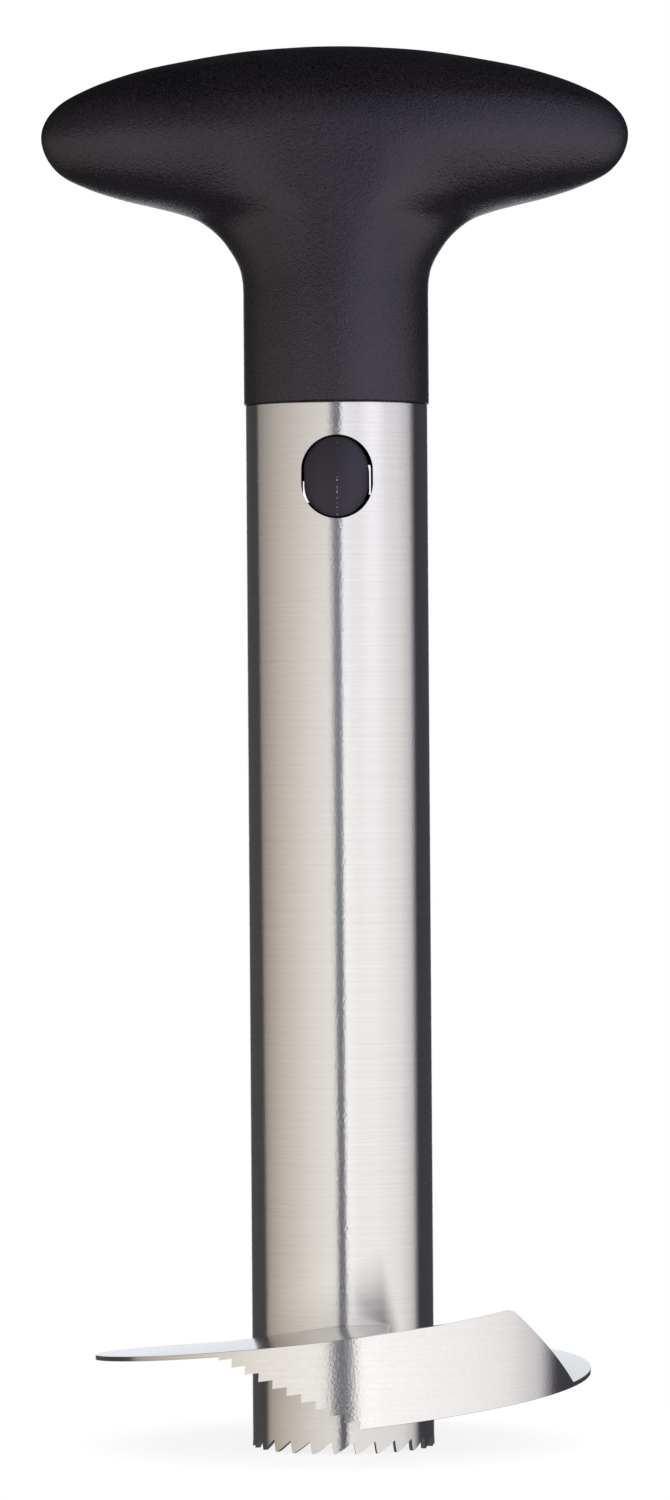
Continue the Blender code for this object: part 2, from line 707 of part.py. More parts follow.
def main():
    clear_scene()
    brushed = make_material("brushed_steel", (0.62, 0.61, 0.58), 0.3, 1.0)
    blade_steel = make_material("blade_steel", (0.68, 0.67, 0.66), 0.25, 1.0)
    wire = make_material("spring_steel", (0.5, 0.5, 0.52), 0.3, 1.0)
    zinc = make_material("zinc_plated_steel", (0.55, 0.56, 0.58), 0.4, 1.0)
    grip = make_material("black_grip", (0.018, 0.017, 0.02), 0.6, 0.0)
    core_plastic = make_material("core_plastic", (0.03, 0.03, 0.033), 0.5, 0.0)
    button_plastic = make_material("button_plastic", (0.035, 0.034, 0.038), 0.5, 0.0)

    make_tube(brushed)
    make_blade(blade_steel)

    seat = place(bpy.data.objects.new("handle_seat", None), None, (0, 0, SEAM_HEIGHT))
    make_skin(seat, grip)
    forms = core_forms(seat)
    cutters = core_cutters(seat)
    make_core_half("core_front", -1, forms, cutters, seat, core_plastic)
    make_core_half("core_rear", 1, forms, cutters, seat, core_plastic)
    make_screws(seat, zinc)
    for name, turn in (("front", 0), ("rear", pi)):
        make_button(name + "_button", seat, turn, button_plastic)
        make_spring(name + "_button_spring", seat, turn, wire)


main()
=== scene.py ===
"""Looks of the pineapple corer and slicer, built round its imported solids.

Metres, +Z up. The tube's axis is the Z axis, its tooth tips stand on z = 0 and the front
faces -Y. Angles are in degrees, on the object from +X, anticlockwise from above, and in the
studio from the camera's side.
"""

from math import atan2, ceil, cos, degrees, pi, radians, sin, sqrt

import bmesh
import bpy
from bpy.props import FloatProperty, FloatVectorProperty, IntProperty, PointerProperty
from bpy.types import Operator, Panel, PropertyGroup
from mathutils import Matrix, Vector


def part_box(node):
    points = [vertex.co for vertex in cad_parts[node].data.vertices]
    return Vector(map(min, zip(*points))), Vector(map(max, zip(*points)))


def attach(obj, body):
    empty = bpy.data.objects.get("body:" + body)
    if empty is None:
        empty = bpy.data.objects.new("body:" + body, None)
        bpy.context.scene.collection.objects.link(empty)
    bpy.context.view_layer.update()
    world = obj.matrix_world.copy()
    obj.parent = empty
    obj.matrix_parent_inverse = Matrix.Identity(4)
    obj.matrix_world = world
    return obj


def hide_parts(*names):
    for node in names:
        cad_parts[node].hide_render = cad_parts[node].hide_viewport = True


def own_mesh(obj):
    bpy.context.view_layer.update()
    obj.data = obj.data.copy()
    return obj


bl_info = {
    "name": "Pineapple corer and slicer",
    "version": (1, 0, 0),
    "blender": (4, 5, 0),
    "location": "3D View > Sidebar > Corer",
    "description": "Builds the finished pieces of a pineapple corer and slicer, and its studio",
    "category": "Object",
}

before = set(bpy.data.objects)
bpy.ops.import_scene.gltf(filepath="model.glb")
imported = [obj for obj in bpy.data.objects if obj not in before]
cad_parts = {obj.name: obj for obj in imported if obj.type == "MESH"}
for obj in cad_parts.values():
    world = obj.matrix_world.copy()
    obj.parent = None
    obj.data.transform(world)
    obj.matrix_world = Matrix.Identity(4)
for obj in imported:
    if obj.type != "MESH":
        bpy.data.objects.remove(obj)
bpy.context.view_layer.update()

MM = 0.001
TUBE_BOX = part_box("coring_tube")
BLADE_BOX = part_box("slicing_blade")
SKIN_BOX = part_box("grip_skin")
BUTTON_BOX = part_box("front_button")
SEAM_HEIGHT = SKIN_BOX[0].z


def length(name, description, size):
    return FloatProperty(name=name, description=description, default=size, unit="LENGTH", precision=6)


def tint(name, description, colour):
    return FloatVectorProperty(
        name=name, description=description, default=colour, subtype="COLOR", min=0.0, max=1.0,
    )


class TubeSettings(PropertyGroup):
    radius: length("Radius", "Outer radius of the tube", TUBE_BOX[1].x)
    wall: length("Wall", "Thickness of the tube's wall", 0.8 * MM)
    height: length("Height", "From the tooth tips to the seam", TUBE_BOX[1].z)
    edge: length("Edge", "Rounding of the tube's upper edge", 0.15 * MM)
    tooth_count: IntProperty(name="Teeth", description="Teeth round the foot", default=26)
    tooth_height: length("Tooth height", "Depth of the teeth", 2.1 * MM)
    hole_width: length("Hole width", "Width of a button's hole", 12.1 * MM)
    hole_height: length("Hole height", "Height of a button's hole", 14.1 * MM)
    hole_drop: length("Hole drop", "From the tube's top to the hole's middle", 12.6 * MM)
    rim: length("Hole rim", "Rounding of the holes' rims", 0.12 * MM)
    colour: tint("Steel", "Colour of the brushed steel", (0.63, 0.62, 0.608))


class BladeSettings(PropertyGroup):
    radius: length("Radius", "Outer radius of the ring blade", -BLADE_BOX[0].y)
    sheet: length("Sheet", "Thickness of the blade's sheet", 0.8 * MM)
    wall: length("Wall", "Thickness of the serrated wall", 0.75 * MM)
    back_height: length("Height", "Height of the level stretch at the back", 14.2 * MM)
    edge: length("Edge", "Rounding of the cut edges", 0.05 * MM)
    colour: tint("Steel", "Colour of the blade's steel", (0.585, 0.577, 0.57))


class HandleSettings(PropertyGroup):
    stem_radius: length("Stem radius", "Radius of the stem", 15.75 * MM)
    half_depth: length("Half depth", "Half the depth of the bar", 15.0 * MM)
    half_length: length("Half length", "Half the length of the bar", SKIN_BOX[1].x)
    crown_height: length("Crown", "From the bar's tips up to its top", 15.2 * MM)
    fillet_height: length("Fillet", "From the bar's tips down to the plain stem", 26.8 * MM)
    skin: length("Skin", "Thickness of the soft skin", 1.6 * MM)
    foot_round: length("Foot rounding", "Rounding of the stem's lower edge", 0.4 * MM)
    foot_drop: length("Foot drop", "Reach of the soft edge into the gap above the tube", 0.25 * MM)
    colour: tint("Grip", "Colour of the soft skin", (0.011, 0.0095, 0.0125))


class ButtonSettings(PropertyGroup):
    width: length("Width", "Width of a button", 10.8 * MM)
    aside: length("Aside", "How far a button hangs to the left in its hole", 0.15 * MM)
    height: length("Height", "Height of a button", 13.4 * MM)
    edge: length("Edge", "Rounding round a button's face", 0.45 * MM)
    back: length("Back", "From the tube's axis to a button's back", 9.0 * MM)
    lip_width: length("Lip width", "Width of the lips that hold a button in the plug", 7.4 * MM)
    lip_thickness: length("Lip thickness", "Thickness of those lips", 1.6 * MM)
    peg_radius: length("Peg radius", "Radius of the peg inside the spring", 1.9 * MM)
    colour: tint("Button", "Colour of the buttons", (0.012, 0.0105, 0.0145))


class SpringSettings(PropertyGroup):
    wire: length("Wire", "Thickness of the spring's wire", 0.7 * MM)
    coil_radius: length("Coil radius", "Radius of the coil at the middle of the wire", 2.65 * MM)
    turns: IntProperty(name="Turns", description="Turns of the coil", default=5)


class StudioSettings(PropertyGroup):
    left_light: tint("Left light", "Colour of the softbox on the left", (1.0, 0.91, 0.79))
    right_light: tint("Right light", "Colour of the softbox on the right", (1.0, 0.98, 0.98))
    strength: FloatProperty(name="Strength", description="Strength of both softboxes", default=1.0)


# Shader graphs

class Signal:
    """A number on a shader socket. Sums and products of it add Math nodes."""

    def __init__(self, graph, socket):
        self.graph = graph
        self.socket = socket

    def math(self, operation, *numbers):
        node = self.graph.node("ShaderNodeMath", dict(enumerate(numbers)), operation=operation)
        return Signal(self.graph, node.outputs[0])

    def __add__(self, other):
        return self.math("ADD", self, other)

    __radd__ = __add__

    def __sub__(self, other):
        return self.math("SUBTRACT", self, other)

    def __rsub__(self, other):
        return self.math("SUBTRACT", other, self)

    def __mul__(self, other):
        return self.math("MULTIPLY", self, other)

    __rmul__ = __mul__

    def __truediv__(self, other):
        return self.math("DIVIDE", self, other)

    def __pow__(self, other):
        return self.math("POWER", self, other)

    def __abs__(self):
        return self.math("ABSOLUTE", self)

    def clamp(self):
        return self.math("MAXIMUM", 0.0, self.math("MINIMUM", 1.0, self))

    def rise(self, low, high):
        """0 up to low, 1 from high, and straight between them."""
        return ((self - low) / (high - low)).clamp()


class Graph:
    """The node tree of a material or of the world."""

    def __init__(self, owner):
        owner.use_nodes = True
        self.tree = owner.node_tree
        self.tree.nodes.clear()
        self.source = None

    def node(self, kind, inputs=None, **settings):
        """A node, its settings first and then the values or links of its sockets."""
        node = self.tree.nodes.new(kind)
        for name, value in settings.items():
            setattr(node, name, value)
        for name, value in (inputs or {}).items():
            if isinstance(value, Signal):
                value = value.socket
            if isinstance(value, bpy.types.NodeSocket):
                self.tree.links.new(value, node.inputs[name])
            else:
                node.inputs[name].default_value = value
        return node

    def coordinates(self, kind="Object"):
        """The piece's own coordinates, in metres, or with "Normal" the way its surface faces."""
        if self.source is None:
            self.source = self.node("ShaderNodeTexCoord")
        return self.source.outputs[kind]

    def axes(self, kind="Object"):
        """X, Y and Z of those coordinates."""
        parts = self.node("ShaderNodeSeparateXYZ", {"Vector": self.coordinates(kind)})
        return [Signal(self, part) for part in parts.outputs]

    def noise(self, grain, detail=2.0, roughness=0.5, seed=0.0):
        """Noise from 0 to 1 whose grain is one size, or one size for each axis, in metres."""
        sizes = grain if isinstance(grain, tuple) else (grain, grain, grain)
        stretched = self.node("ShaderNodeMapping", {
            "Vector": self.coordinates(),
            "Scale": [1 / size for size in sizes],
            "Location": (seed, seed, seed),
        })
        made = self.node("ShaderNodeTexNoise", {
            "Vector": stretched.outputs[0], "Scale": 1.0, "Detail": detail, "Roughness": roughness,
        })
        return Signal(self, made.outputs["Fac"])

    def mix(self, share, first, second):
        """A colour between two colours."""
        node = self.node("ShaderNodeMix", {0: share}, data_type="RGBA")
        for index, colour in ((6, first), (7, second)):
            if isinstance(colour, bpy.types.NodeSocket):
                self.tree.links.new(colour, node.inputs[index])
            else:
                node.inputs[index].default_value = (*colour, 1.0)
        return node.outputs[2]

    def ends(self, kind, shader):
        self.node(kind, {"Surface": shader})


def shaded(colour, factor):
    return tuple(part * factor for part in colour)


def from_axis(x, y):
    """Distance from the tube's axis."""
    return (x * x + y * y) ** 0.5


def finish_material(name, surface, *values):
    """A Principled BSDF; surface gives its sockets and its bumps' heights, distances and strengths."""
    material = bpy.data.materials.new(name)
    graph = Graph(material)
    sockets = surface(graph, *values)
    for height, distance, strength in sockets.pop("heights"):
        inputs = {"Height": height, "Distance": distance, "Strength": strength}
        if "Normal" in sockets:
            inputs["Normal"] = sockets["Normal"]
        sockets["Normal"] = graph.node("ShaderNodeBump", inputs).outputs[0]
    shader = graph.node("ShaderNodeBsdfPrincipled", sockets)
    graph.ends("ShaderNodeOutputMaterial", shader.outputs[0])
    return material


# Pieces

# Shading flows over an edge that turns by fewer degrees than this
SHARP = 32.0
# An edge that turns by more degrees than this is rounded
CORNER = 50.0
# Turns what faces up to the front
TO_FRONT = Matrix.Rotation(pi / 2, 3, "X")


def made_object(name, shape):
    """An object at the origin with the mesh of a bmesh, which it uses up."""
    mesh = bpy.data.meshes.new(name)
    shape.to_mesh(mesh)
    shape.free()
    item = bpy.data.objects.new(name, mesh)
    bpy.context.scene.collection.objects.link(item)
    return item


def new_piece(name, shape, body, material, nodes, sharp=SHARP):
    """A piece that rides on a body, from a bmesh whose faces point outwards."""
    piece = made_object(name, shape)
    smooth(piece.data, sharp)
    piece.data.materials.append(material)
    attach(piece, body)
    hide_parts(*nodes)
    return piece


def smooth(mesh, sharp):
    mesh.shade_smooth()
    mesh.set_sharp_from_angle(angle=radians(sharp))


def settle(piece, sharp):
    """Applies a piece's modifiers."""
    bpy.context.view_layer.update()
    seen = piece.evaluated_get(bpy.context.evaluated_depsgraph_get())
    mesh = bpy.data.meshes.new_from_object(seen)
    piece.modifiers.clear()
    piece.data = mesh
    smooth(mesh, sharp)


def cut(piece, shape, operation, sharp=SHARP):
    """Joins a piece with another closed shape, or cuts that shape out of it."""
    tool = made_object("tool", shape)
    mesh = tool.data
    change = piece.modifiers.new("cut", "BOOLEAN")
    change.operation = operation
    change.solver = "EXACT"
    change.object = tool
    settle(piece, sharp)
    bpy.data.objects.remove(tool)
    bpy.data.meshes.remove(mesh)


def reshape(piece, change, sharp=SHARP):
    """Changes a piece's mesh as a bmesh."""
    shape = bmesh.new()
    shape.from_mesh(piece.data)
    change(shape)
    shape.to_mesh(piece.data)
    shape.free()
    smooth(piece.data, sharp)


def polar(radius, angle, height):
    return Vector((radius * cos(radians(angle)), radius * sin(radians(angle)), height))


def oval(width, height, level, y, sides):
    """A shape of one face across the Y axis: an upright oval with straight sides."""
    shape = bmesh.new()
    bmesh.ops.create_circle(shape, cap_ends=True, segments=sides, radius=width / 2)
    bmesh.ops.rotate(shape, verts=shape.verts, matrix=TO_FRONT)
    straight = (height - width) / 2
    for vert in shape.verts:
        vert.co.z += straight if vert.co.z > 0 else -straight
    bmesh.ops.translate(shape, verts=shape.verts, vec=(0, y, level))
    return shape


def doubled(shape):
    """Extrudes all faces of a shape, and gives the points that can now move away."""
    made = bmesh.ops.extrude_face_region(shape, geom=shape.faces[:], use_keep_orig=True)
    return [part for part in made["geom"] if isinstance(part, bmesh.types.BMVert)]


def slice_at(shape, x, reach):
    """Cuts a shape along the plane at x. Points within reach of it count as on it."""
    whole = shape.verts[:] + shape.edges[:] + shape.faces[:]
    bmesh.ops.bisect_plane(shape, geom=whole, dist=reach, plane_co=(x, 0, 0), plane_no=(1, 0, 0))


def outward(shape):
    """Turns a shape's faces outwards."""
    bmesh.ops.recalc_face_normals(shape, faces=shape.faces)
    return shape


def sharp_edges(shape, angle=CORNER):
    """Edges between two faces that meet at more than an angle."""
    return [e for e in shape.edges if len(e.link_faces) == 2 and e.calc_face_angle(0.0) > radians(angle)]


def round_edges(shape, edges, width, segments=2):
    bmesh.ops.bevel(
        shape, geom=edges, offset=width, offset_type="OFFSET", segments=segments,
        profile=0.5, affect="EDGES", clamp_overlap=True, material=-1,
    )


# Coring tube

# Steel shows edges that turn by fewer degrees than the other pieces'
STEEL_SHARP = 18.0
TOOTH_STEPS = 20
# Along one tooth's pitch: share of the pitch, share of the tooth's depth
TOOTH_SHAPE = ((0.0, 1.0), (0.05, 0.0), (0.14, 0.0), (0.4, 0.26), (0.7, 0.63), (0.9, 0.91), (1.0, 1.0))
TOOTH_PHASE = 0.97
# Share of the upper edge's rounding by which its middle points stand in
EDGE_MIDDLE = 0.3
HOLE_SIDES = 72
# Scuffs above each hole: where they start and are full below the top, and their half width
SCUFF_DROPS = 4.0 * MM, 2.0 * MM
SCUFF_HALF_WIDTHS = 0.5 * MM, 1.1 * MM


def between(points, x):
    """Height of a chain of straight runs at x."""
    for (x0, y0), (x1, y1) in zip(points, points[1:]):
        if x <= x1:
            return y0 + (y1 - y0) * (x - x0) / (x1 - x0)
    return points[-1][1]


def tube_shape(tube):
    inner = tube.radius - tube.wall
    top = tube.height
    edge = tube.edge
    middle = EDGE_MIDDLE * edge
    section = (
        (tube.radius, 0.0), (tube.radius, top - edge),
        (tube.radius - middle, top - middle), (tube.radius - edge, top),
        (inner + edge, top), (inner + middle, top - middle), (inner, top - edge),
        (inner, 0.0),
    )
    shape = bmesh.new()
    verts = [shape.verts.new((x, 0.0, z)) for x, z in section]
    edges = [shape.edges.new(pair) for pair in zip(verts, verts[1:] + verts[:1])]
    bmesh.ops.spin(
        shape, geom=verts + edges, axis=(0, 0, 1), angle=2 * pi,
        steps=tube.tooth_count * TOOTH_STEPS, use_merge=True,
    )
    for vert in shape.verts:
        if vert.co.z < edge:
            turns = degrees(atan2(vert.co.y, vert.co.x)) * tube.tooth_count / 360 - TOOTH_PHASE
            vert.co.z = tube.tooth_height * between(TOOTH_SHAPE, round(turns % 1.0, 4))
    return outward(shape)


def holes_shape(tube):
    """An oval bar through the tube, which cuts both button holes."""
    reach = 2 * tube.radius
    level = tube.height - tube.hole_drop
    shape = oval(tube.hole_width, tube.hole_height, level, -reach, HOLE_SIDES)
    bmesh.ops.translate(shape, verts=doubled(shape), vec=(0, 2 * reach, 0))
    return outward(shape)


def hole_rims(shape, tube):
    """The sharp edges round the two button holes."""
    level = tube.height - tube.hole_drop
    low = level - tube.hole_height / 2 - tube.edge
    high = level + tube.hole_height / 2 + tube.edge
    return [e for e in sharp_edges(shape) if all(low < v.co.z < high for v in e.verts)]


def brushed_tube_surface(graph, colour, top):
    x, _, z = graph.axes()
    fine = graph.noise((30 * MM, 30 * MM, 0.3 * MM), detail=3.0, roughness=0.6)
    broad = graph.noise((45 * MM, 45 * MM, 1.6 * MM), seed=3.0)
    grain = graph.noise(0.4 * MM, roughness=0.6, seed=7.0)
    streak = (fine * 0.75 + broad * 0.25).rise(0.3, 0.7)
    specks = graph.noise(0.7 * MM, roughness=0.6, seed=11.0).rise(0.5, 0.62)
    start, full = (top - drop for drop in SCUFF_DROPS)
    scuffed = specks * z.rise(start, full) * (1 - abs(x).rise(*SCUFF_HALF_WIDTHS))
    return {
        "Base Color": graph.mix(streak, shaded(colour, 0.94), shaded(colour, 1.06)),
        "Metallic": 1.0,
        "Roughness": 0.17 + streak * 0.04 + grain * 0.04 + scuffed * 0.3,
        "Anisotropic": 1.0,
        "Anisotropic Rotation": 0.25,
        "heights": ((fine, 0.004 * MM, 0.35), (grain, 0.015 * MM, 1.0)),
    }


class CORER_OT_coring_tube(Operator):
    """Makes the brushed tube, with its toothed foot and its two button holes"""
    bl_idname = "corer.coring_tube"
    bl_label = "Coring tube"

    def execute(self, context):
        tube = context.scene.corer_tube
        steel = finish_material("brushed_tube_steel", brushed_tube_surface, tube.colour, tube.height)
        piece = new_piece(
            "brushed_coring_tube", tube_shape(tube), "tube", steel,
            ["coring_tube"],
        )
        cut(piece, holes_shape(tube), "DIFFERENCE", STEEL_SHARP)
        reshape(piece, lambda shape: round_edges(shape, hole_rims(shape, tube), tube.rim), STEEL_SHARP)
        return {"FINISHED"}


# Ring blade with its serrated wall

FOLD_STEP = 0.1 * MM
HUB_GAP = 0.3 * MM
LEAD_RIM, LEAD_HUB = -86.0, -60.0
TRAIL_RIM, TRAIL_HUB = 280.0, 300.0
FLAT_START, FLAT_END = 45.0, 120.0
LEAD_RIM_DROP = 6.4 * MM
LEAD_POWER = 1.7
TRAIL_RIM_RISE = 8.6 * MM
TRAIL_RIM_POWER = 1.8
HUB_ABOVE_RIM = 1.8 * MM
LEAD_HUB_DROP = 7.0 * MM
TRAIL_HUB_RISE = 5.6 * MM
TRAIL_HUB_START, TRAIL_HUB_LEVEL = 110.0, 267.0
TRAIL_HUB_POWER = 1.25
# Degrees over which each end of the turn fans out from the rim's angle to the hub's
SLIT_FAN = 100.0
DISC_COLUMNS, DISC_ROWS = 260, 12

WALL_TIP = 240.9
WALL_TEETH = 11
WALL_PITCH = 3.26
WALL_TOOTH_DROP = 1.1 * MM
WALL_UNDERCUT = 0.12
WALL_RELIEF = 0.38 * MM
# Slope of the wall's top past the sheet, in length per degree
WALL_TOP_RISE = 0.092 * MM
WALL_TOP_END = 311.7
WALL_FOOT_END = 337.2
# Rounding of the corner where the wall's top ends: degrees back, share of the slanted end
WALL_CORNER = 0.9, 0.04
WALL_CORNER_STEPS = 4
WALL_COLUMN = 0.75
# In degrees and millimetres, as the wall is unrolled
WALL_SLICE_REACH = 1e-5

# Painted light on the wall's inner face, which is made pale, not metallic and rougher: its colour, how
# far up a face of it may look, and its reach
PAINTED_LIGHT_INSIDE_COLOUR = (0.95, 0.94, 0.93)
INSIDE_TILTS = 0.3, 0.6
INSIDE_REACH = 0.08 * MM, 0.12 * MM


def rim_height(angle):
    """Height of the sheet's top at the rim, above the level stretch at the back."""
    if angle < FLAT_START:
        return -LEAD_RIM_DROP * ((FLAT_START - angle) / (FLAT_START - LEAD_RIM)) ** LEAD_POWER
    if angle > FLAT_END:
        return TRAIL_RIM_RISE * ((angle - FLAT_END) / (TRAIL_RIM - FLAT_END)) ** TRAIL_RIM_POWER
    return 0.0


def hub_height(angle):
    """The same at the hub, where the end of the turn runs level."""
    if angle < FLAT_START:
        share = (FLAT_START - angle) / (FLAT_START - LEAD_HUB)
        return HUB_ABOVE_RIM - LEAD_HUB_DROP * share ** LEAD_POWER
    if angle > TRAIL_HUB_START:
        share = (min(angle, TRAIL_HUB_LEVEL) - TRAIL_HUB_START) / (TRAIL_HUB_LEVEL - TRAIL_HUB_START)
        return HUB_ABOVE_RIM + TRAIL_HUB_RISE * share ** TRAIL_HUB_POWER
    return HUB_ABOVE_RIM


def hub_angle(at_rim):
    """Angle at the hub of the ruling that meets the rim at an angle."""
    lead = max(0.0, 1 - (at_rim - LEAD_RIM) / SLIT_FAN) ** 2
    trail = max(0.0, 1 - (TRAIL_RIM - at_rim) / SLIT_FAN) ** 2
    return at_rim + (LEAD_HUB - LEAD_RIM) * lead + (TRAIL_HUB - TRAIL_RIM) * trail


def disc_shape(blade, hub_radius):
    """One turn of sheet, ruled from the hub to the rim."""
    shape = bmesh.new()
    bmesh.ops.create_grid(shape, x_segments=DISC_COLUMNS, y_segments=DISC_ROWS, size=1.0)
    for vert in shape.verts:
        along = (vert.co.x + 1) / 2
        out = (vert.co.y + 1) / 2
        at_rim = LEAD_RIM + (TRAIL_RIM - LEAD_RIM) * along
        at_hub = hub_angle(at_rim)
        hub = polar(hub_radius, at_hub, hub_height(at_hub))
        rim = polar(blade.radius - FOLD_STEP, at_rim, rim_height(at_rim))
        vert.co = hub.lerp(rim, out) + Vector((0, 0, blade.back_height))
    bmesh.ops.translate(shape, verts=doubled(shape), vec=(0, 0, -blade.sheet))
    outward(shape)
    round_edges(shape, sharp_edges(shape), blade.edge)
    return shape


def wall_foot(blade, angle):
    """Height of the wall's foot, which reaches the sheet a turn below."""
    return rim_height(angle - 360) - blade.sheet + FOLD_STEP


def wall_top(angle):
    past_sheet = max(0.0, angle - TRAIL_RIM)
    return rim_height(angle - past_sheet) - FOLD_STEP + WALL_TOP_RISE * past_sheet


def wall_outline(blade):
    """Corners of the wall, unrolled as (angle, height), round from the first tooth's top."""
    last_tip = WALL_TIP + WALL_PITCH * (WALL_TEETH - 1)
    first = wall_foot(blade, last_tip) + WALL_TOOTH_DROP * (WALL_TEETH - 1)
    foot = []
    for i in range(WALL_TEETH):
        angle = WALL_TIP + WALL_PITCH * i
        height = first - WALL_TOOTH_DROP * i
        foot.append((angle, height))
        if i < WALL_TEETH - 1:
            foot.append((angle + WALL_PITCH + WALL_UNDERCUT, height + WALL_RELIEF))
    plain = last_tip + WALL_PITCH
    while plain < WALL_FOOT_END:
        foot.append((plain, wall_foot(blade, plain)))
        plain += WALL_PITCH
    foot.append((WALL_FOOT_END, wall_foot(blade, WALL_FOOT_END)))
    corner = Vector((WALL_TOP_END, wall_top(WALL_TOP_END)))
    back, down = WALL_CORNER
    past = corner.lerp(Vector(foot[-1]), down)
    before = Vector((WALL_TOP_END - back, wall_top(WALL_TOP_END - back)))
    top = []
    for i in range(WALL_CORNER_STEPS + 1):
        share = i / WALL_CORNER_STEPS
        top.append(tuple(past.lerp(corner, share).lerp(corner.lerp(before, share), share)))
    start = WALL_TIP + WALL_UNDERCUT
    at = WALL_TOP_END - WALL_PITCH
    while at > start:
        top.append((at, wall_top(at)))
        at -= WALL_PITCH
    top.append((start, wall_top(start)))
    return foot + top


def wall_shape(blade):
    """The wall's outline, unrolled and cut into columns, then wrapped on the rim."""
    shape = bmesh.new()
    outline = [shape.verts.new((angle, 0.0, height / MM)) for angle, height in wall_outline(blade)]
    shape.faces.new(outline)
    at = WALL_TIP + WALL_COLUMN
    while at < WALL_FOOT_END:
        slice_at(shape, at, WALL_SLICE_REACH)
        at += WALL_COLUMN
    inward = 1 - blade.wall / blade.radius
    inner = set(doubled(shape))
    for vert in shape.verts:
        radius = blade.radius * (inward if vert in inner else 1.0)
        vert.co = polar(radius, vert.co.x, blade.back_height + vert.co.z * MM)
    return outward(shape)


def blade_surface(graph, colour, wall_inside):
    x, y, _ = graph.axes()
    # The wall's inner face, which gets painted light below
    upright = 1 - abs(graph.axes("Normal")[2]).rise(*INSIDE_TILTS)
    inside = upright * (1 - abs(from_axis(x, y) - wall_inside).rise(*INSIDE_REACH))
    fine = graph.noise((12 * MM, 12 * MM, 0.2 * MM), detail=3.0, roughness=0.6)
    grain = graph.noise(0.45 * MM, roughness=0.65, seed=5.0)
    cloud = graph.noise(9 * MM, seed=2.0)
    streak = (fine * 0.5 + grain * 0.5).rise(0.3, 0.7)
    steel = graph.mix(streak, shaded(colour, 0.93), shaded(colour, 1.04))
    return {
        # Painted light: the wall's inner face is pale, not metallic and rougher, so that it shows
        # lighter
        "Base Color": graph.mix(inside, steel, PAINTED_LIGHT_INSIDE_COLOUR),
        "Metallic": 1.0 - inside,
        "Roughness": 0.12 + grain * 0.06 + cloud * 0.03 + inside * 0.4,
        "Anisotropic": 0.5,
        "Anisotropic Rotation": 0.25,
        "heights": ((fine, 0.003 * MM, 0.3), (grain, 0.015 * MM, 1.0)),
    }


class CORER_OT_slicing_blade(Operator):
    """Makes the ring blade: a turn of sheet and the serrated wall on its rim"""
    bl_idname = "corer.slicing_blade"
    bl_label = "Slicing blade"

    def execute(self, context):
        blade = context.scene.corer_blade
        steel = finish_material("blade_steel", blade_surface, blade.colour, blade.radius - blade.wall)
        hub_radius = context.scene.corer_tube.radius + HUB_GAP
        piece = new_piece(
            "satin_slicing_blade", disc_shape(blade, hub_radius), "tube", steel,
            ["slicing_blade"],
        )
        cut(piece, wall_shape(blade), "UNION", STEEL_SHARP)
        return {"FINISHED"}


# T handle

# Underside from the stem to the bar's tips: share of the height, share of the spread
UNDERSIDE = (
    (0.0, 0.0), (0.075, 0.003), (0.15, 0.014), (0.21, 0.034), (0.275, 0.064), (0.34, 0.101),
    (0.405, 0.152), (0.47, 0.226), (0.515, 0.324), (0.555, 0.444), (0.6, 0.591), (0.672, 0.764),
    (0.765, 0.906), (0.88, 0.977), (1.0, 1.0),
)
# Back of the bar from its tips to the top: share of the height, share of the half length
CROWN = (
    (0.171, 0.987), (0.362, 0.9385), (0.546, 0.837), (0.73, 0.6735), (0.858, 0.488),
    (0.944, 0.32), (0.987, 0.16), (1.0, 0.08), (1.001, 0.02),
)
HANDLE_SIDES = 128
RINGS_PER_SPAN = 7
FOOT_STEPS = 6
SKIN_SHARP = 50.0
# Drawing-in below the bar: share of the depth, shares of the stem's radius beside the axis, and
# shares of the fillet's height at which it starts, peaks and ends
WAIST_SHARE = 0.24
WAIST_SIDE_SHARES = 0.35, 1.35
WAIST_HEIGHT_SHARES = 0.12, 0.45, 1.05


def handle_stations(grip):
    """Half width, half depth and height of each section, from the fillet's start up."""
    tip = SKIN_BOX[1].z - grip.crown_height
    start = tip - grip.fillet_height
    stations = []
    for up, out in UNDERSIDE:
        width = grip.stem_radius + (grip.half_length - grip.stem_radius) * out
        depth = grip.stem_radius + (grip.half_depth - grip.stem_radius) * up
        stations.append(Vector((width, depth, start + grip.fillet_height * up)))
    for up, out in CROWN:
        stations.append(Vector((
            grip.half_length * out, grip.half_depth * out, tip + grip.crown_height * min(up, 1.0),
        )))
    return stations


def eased(points, count):
    """Points on a smooth curve through the given ones, count to each span."""
    made = []
    ends = [points[0] * 2 - points[1], *points, points[-1] * 2 - points[-2]]
    for p0, p1, p2, p3 in zip(ends, ends[1:], ends[2:], ends[3:]):
        k0, k1, k2 = (max(sqrt((b - a).length), 1e-9) for a, b in ((p0, p1), (p1, p2), (p2, p3)))
        m1 = (p2 - p1) + ((p1 - p0) / k0 - (p2 - p0) / (k0 + k1)) * k1
        m2 = (p2 - p1) + ((p3 - p2) / k2 - (p3 - p1) / (k1 + k2)) * k1
        for i in range(count):
            t = i / count
            made.append(
                p1 * (2 * t ** 3 - 3 * t ** 2 + 1) + m1 * (t ** 3 - 2 * t ** 2 + t)
                + p2 * (3 * t ** 2 - 2 * t ** 3) + m2 * (t ** 3 - t ** 2)
            )
    made.append(points[-1])
    return made


def soft_step(value, low, high):
    """0 up to low, 1 from high, and a smooth rise between them."""
    share = min(max((value - low) / (high - low), 0.0), 1.0)
    return share * share * (3 - 2 * share)


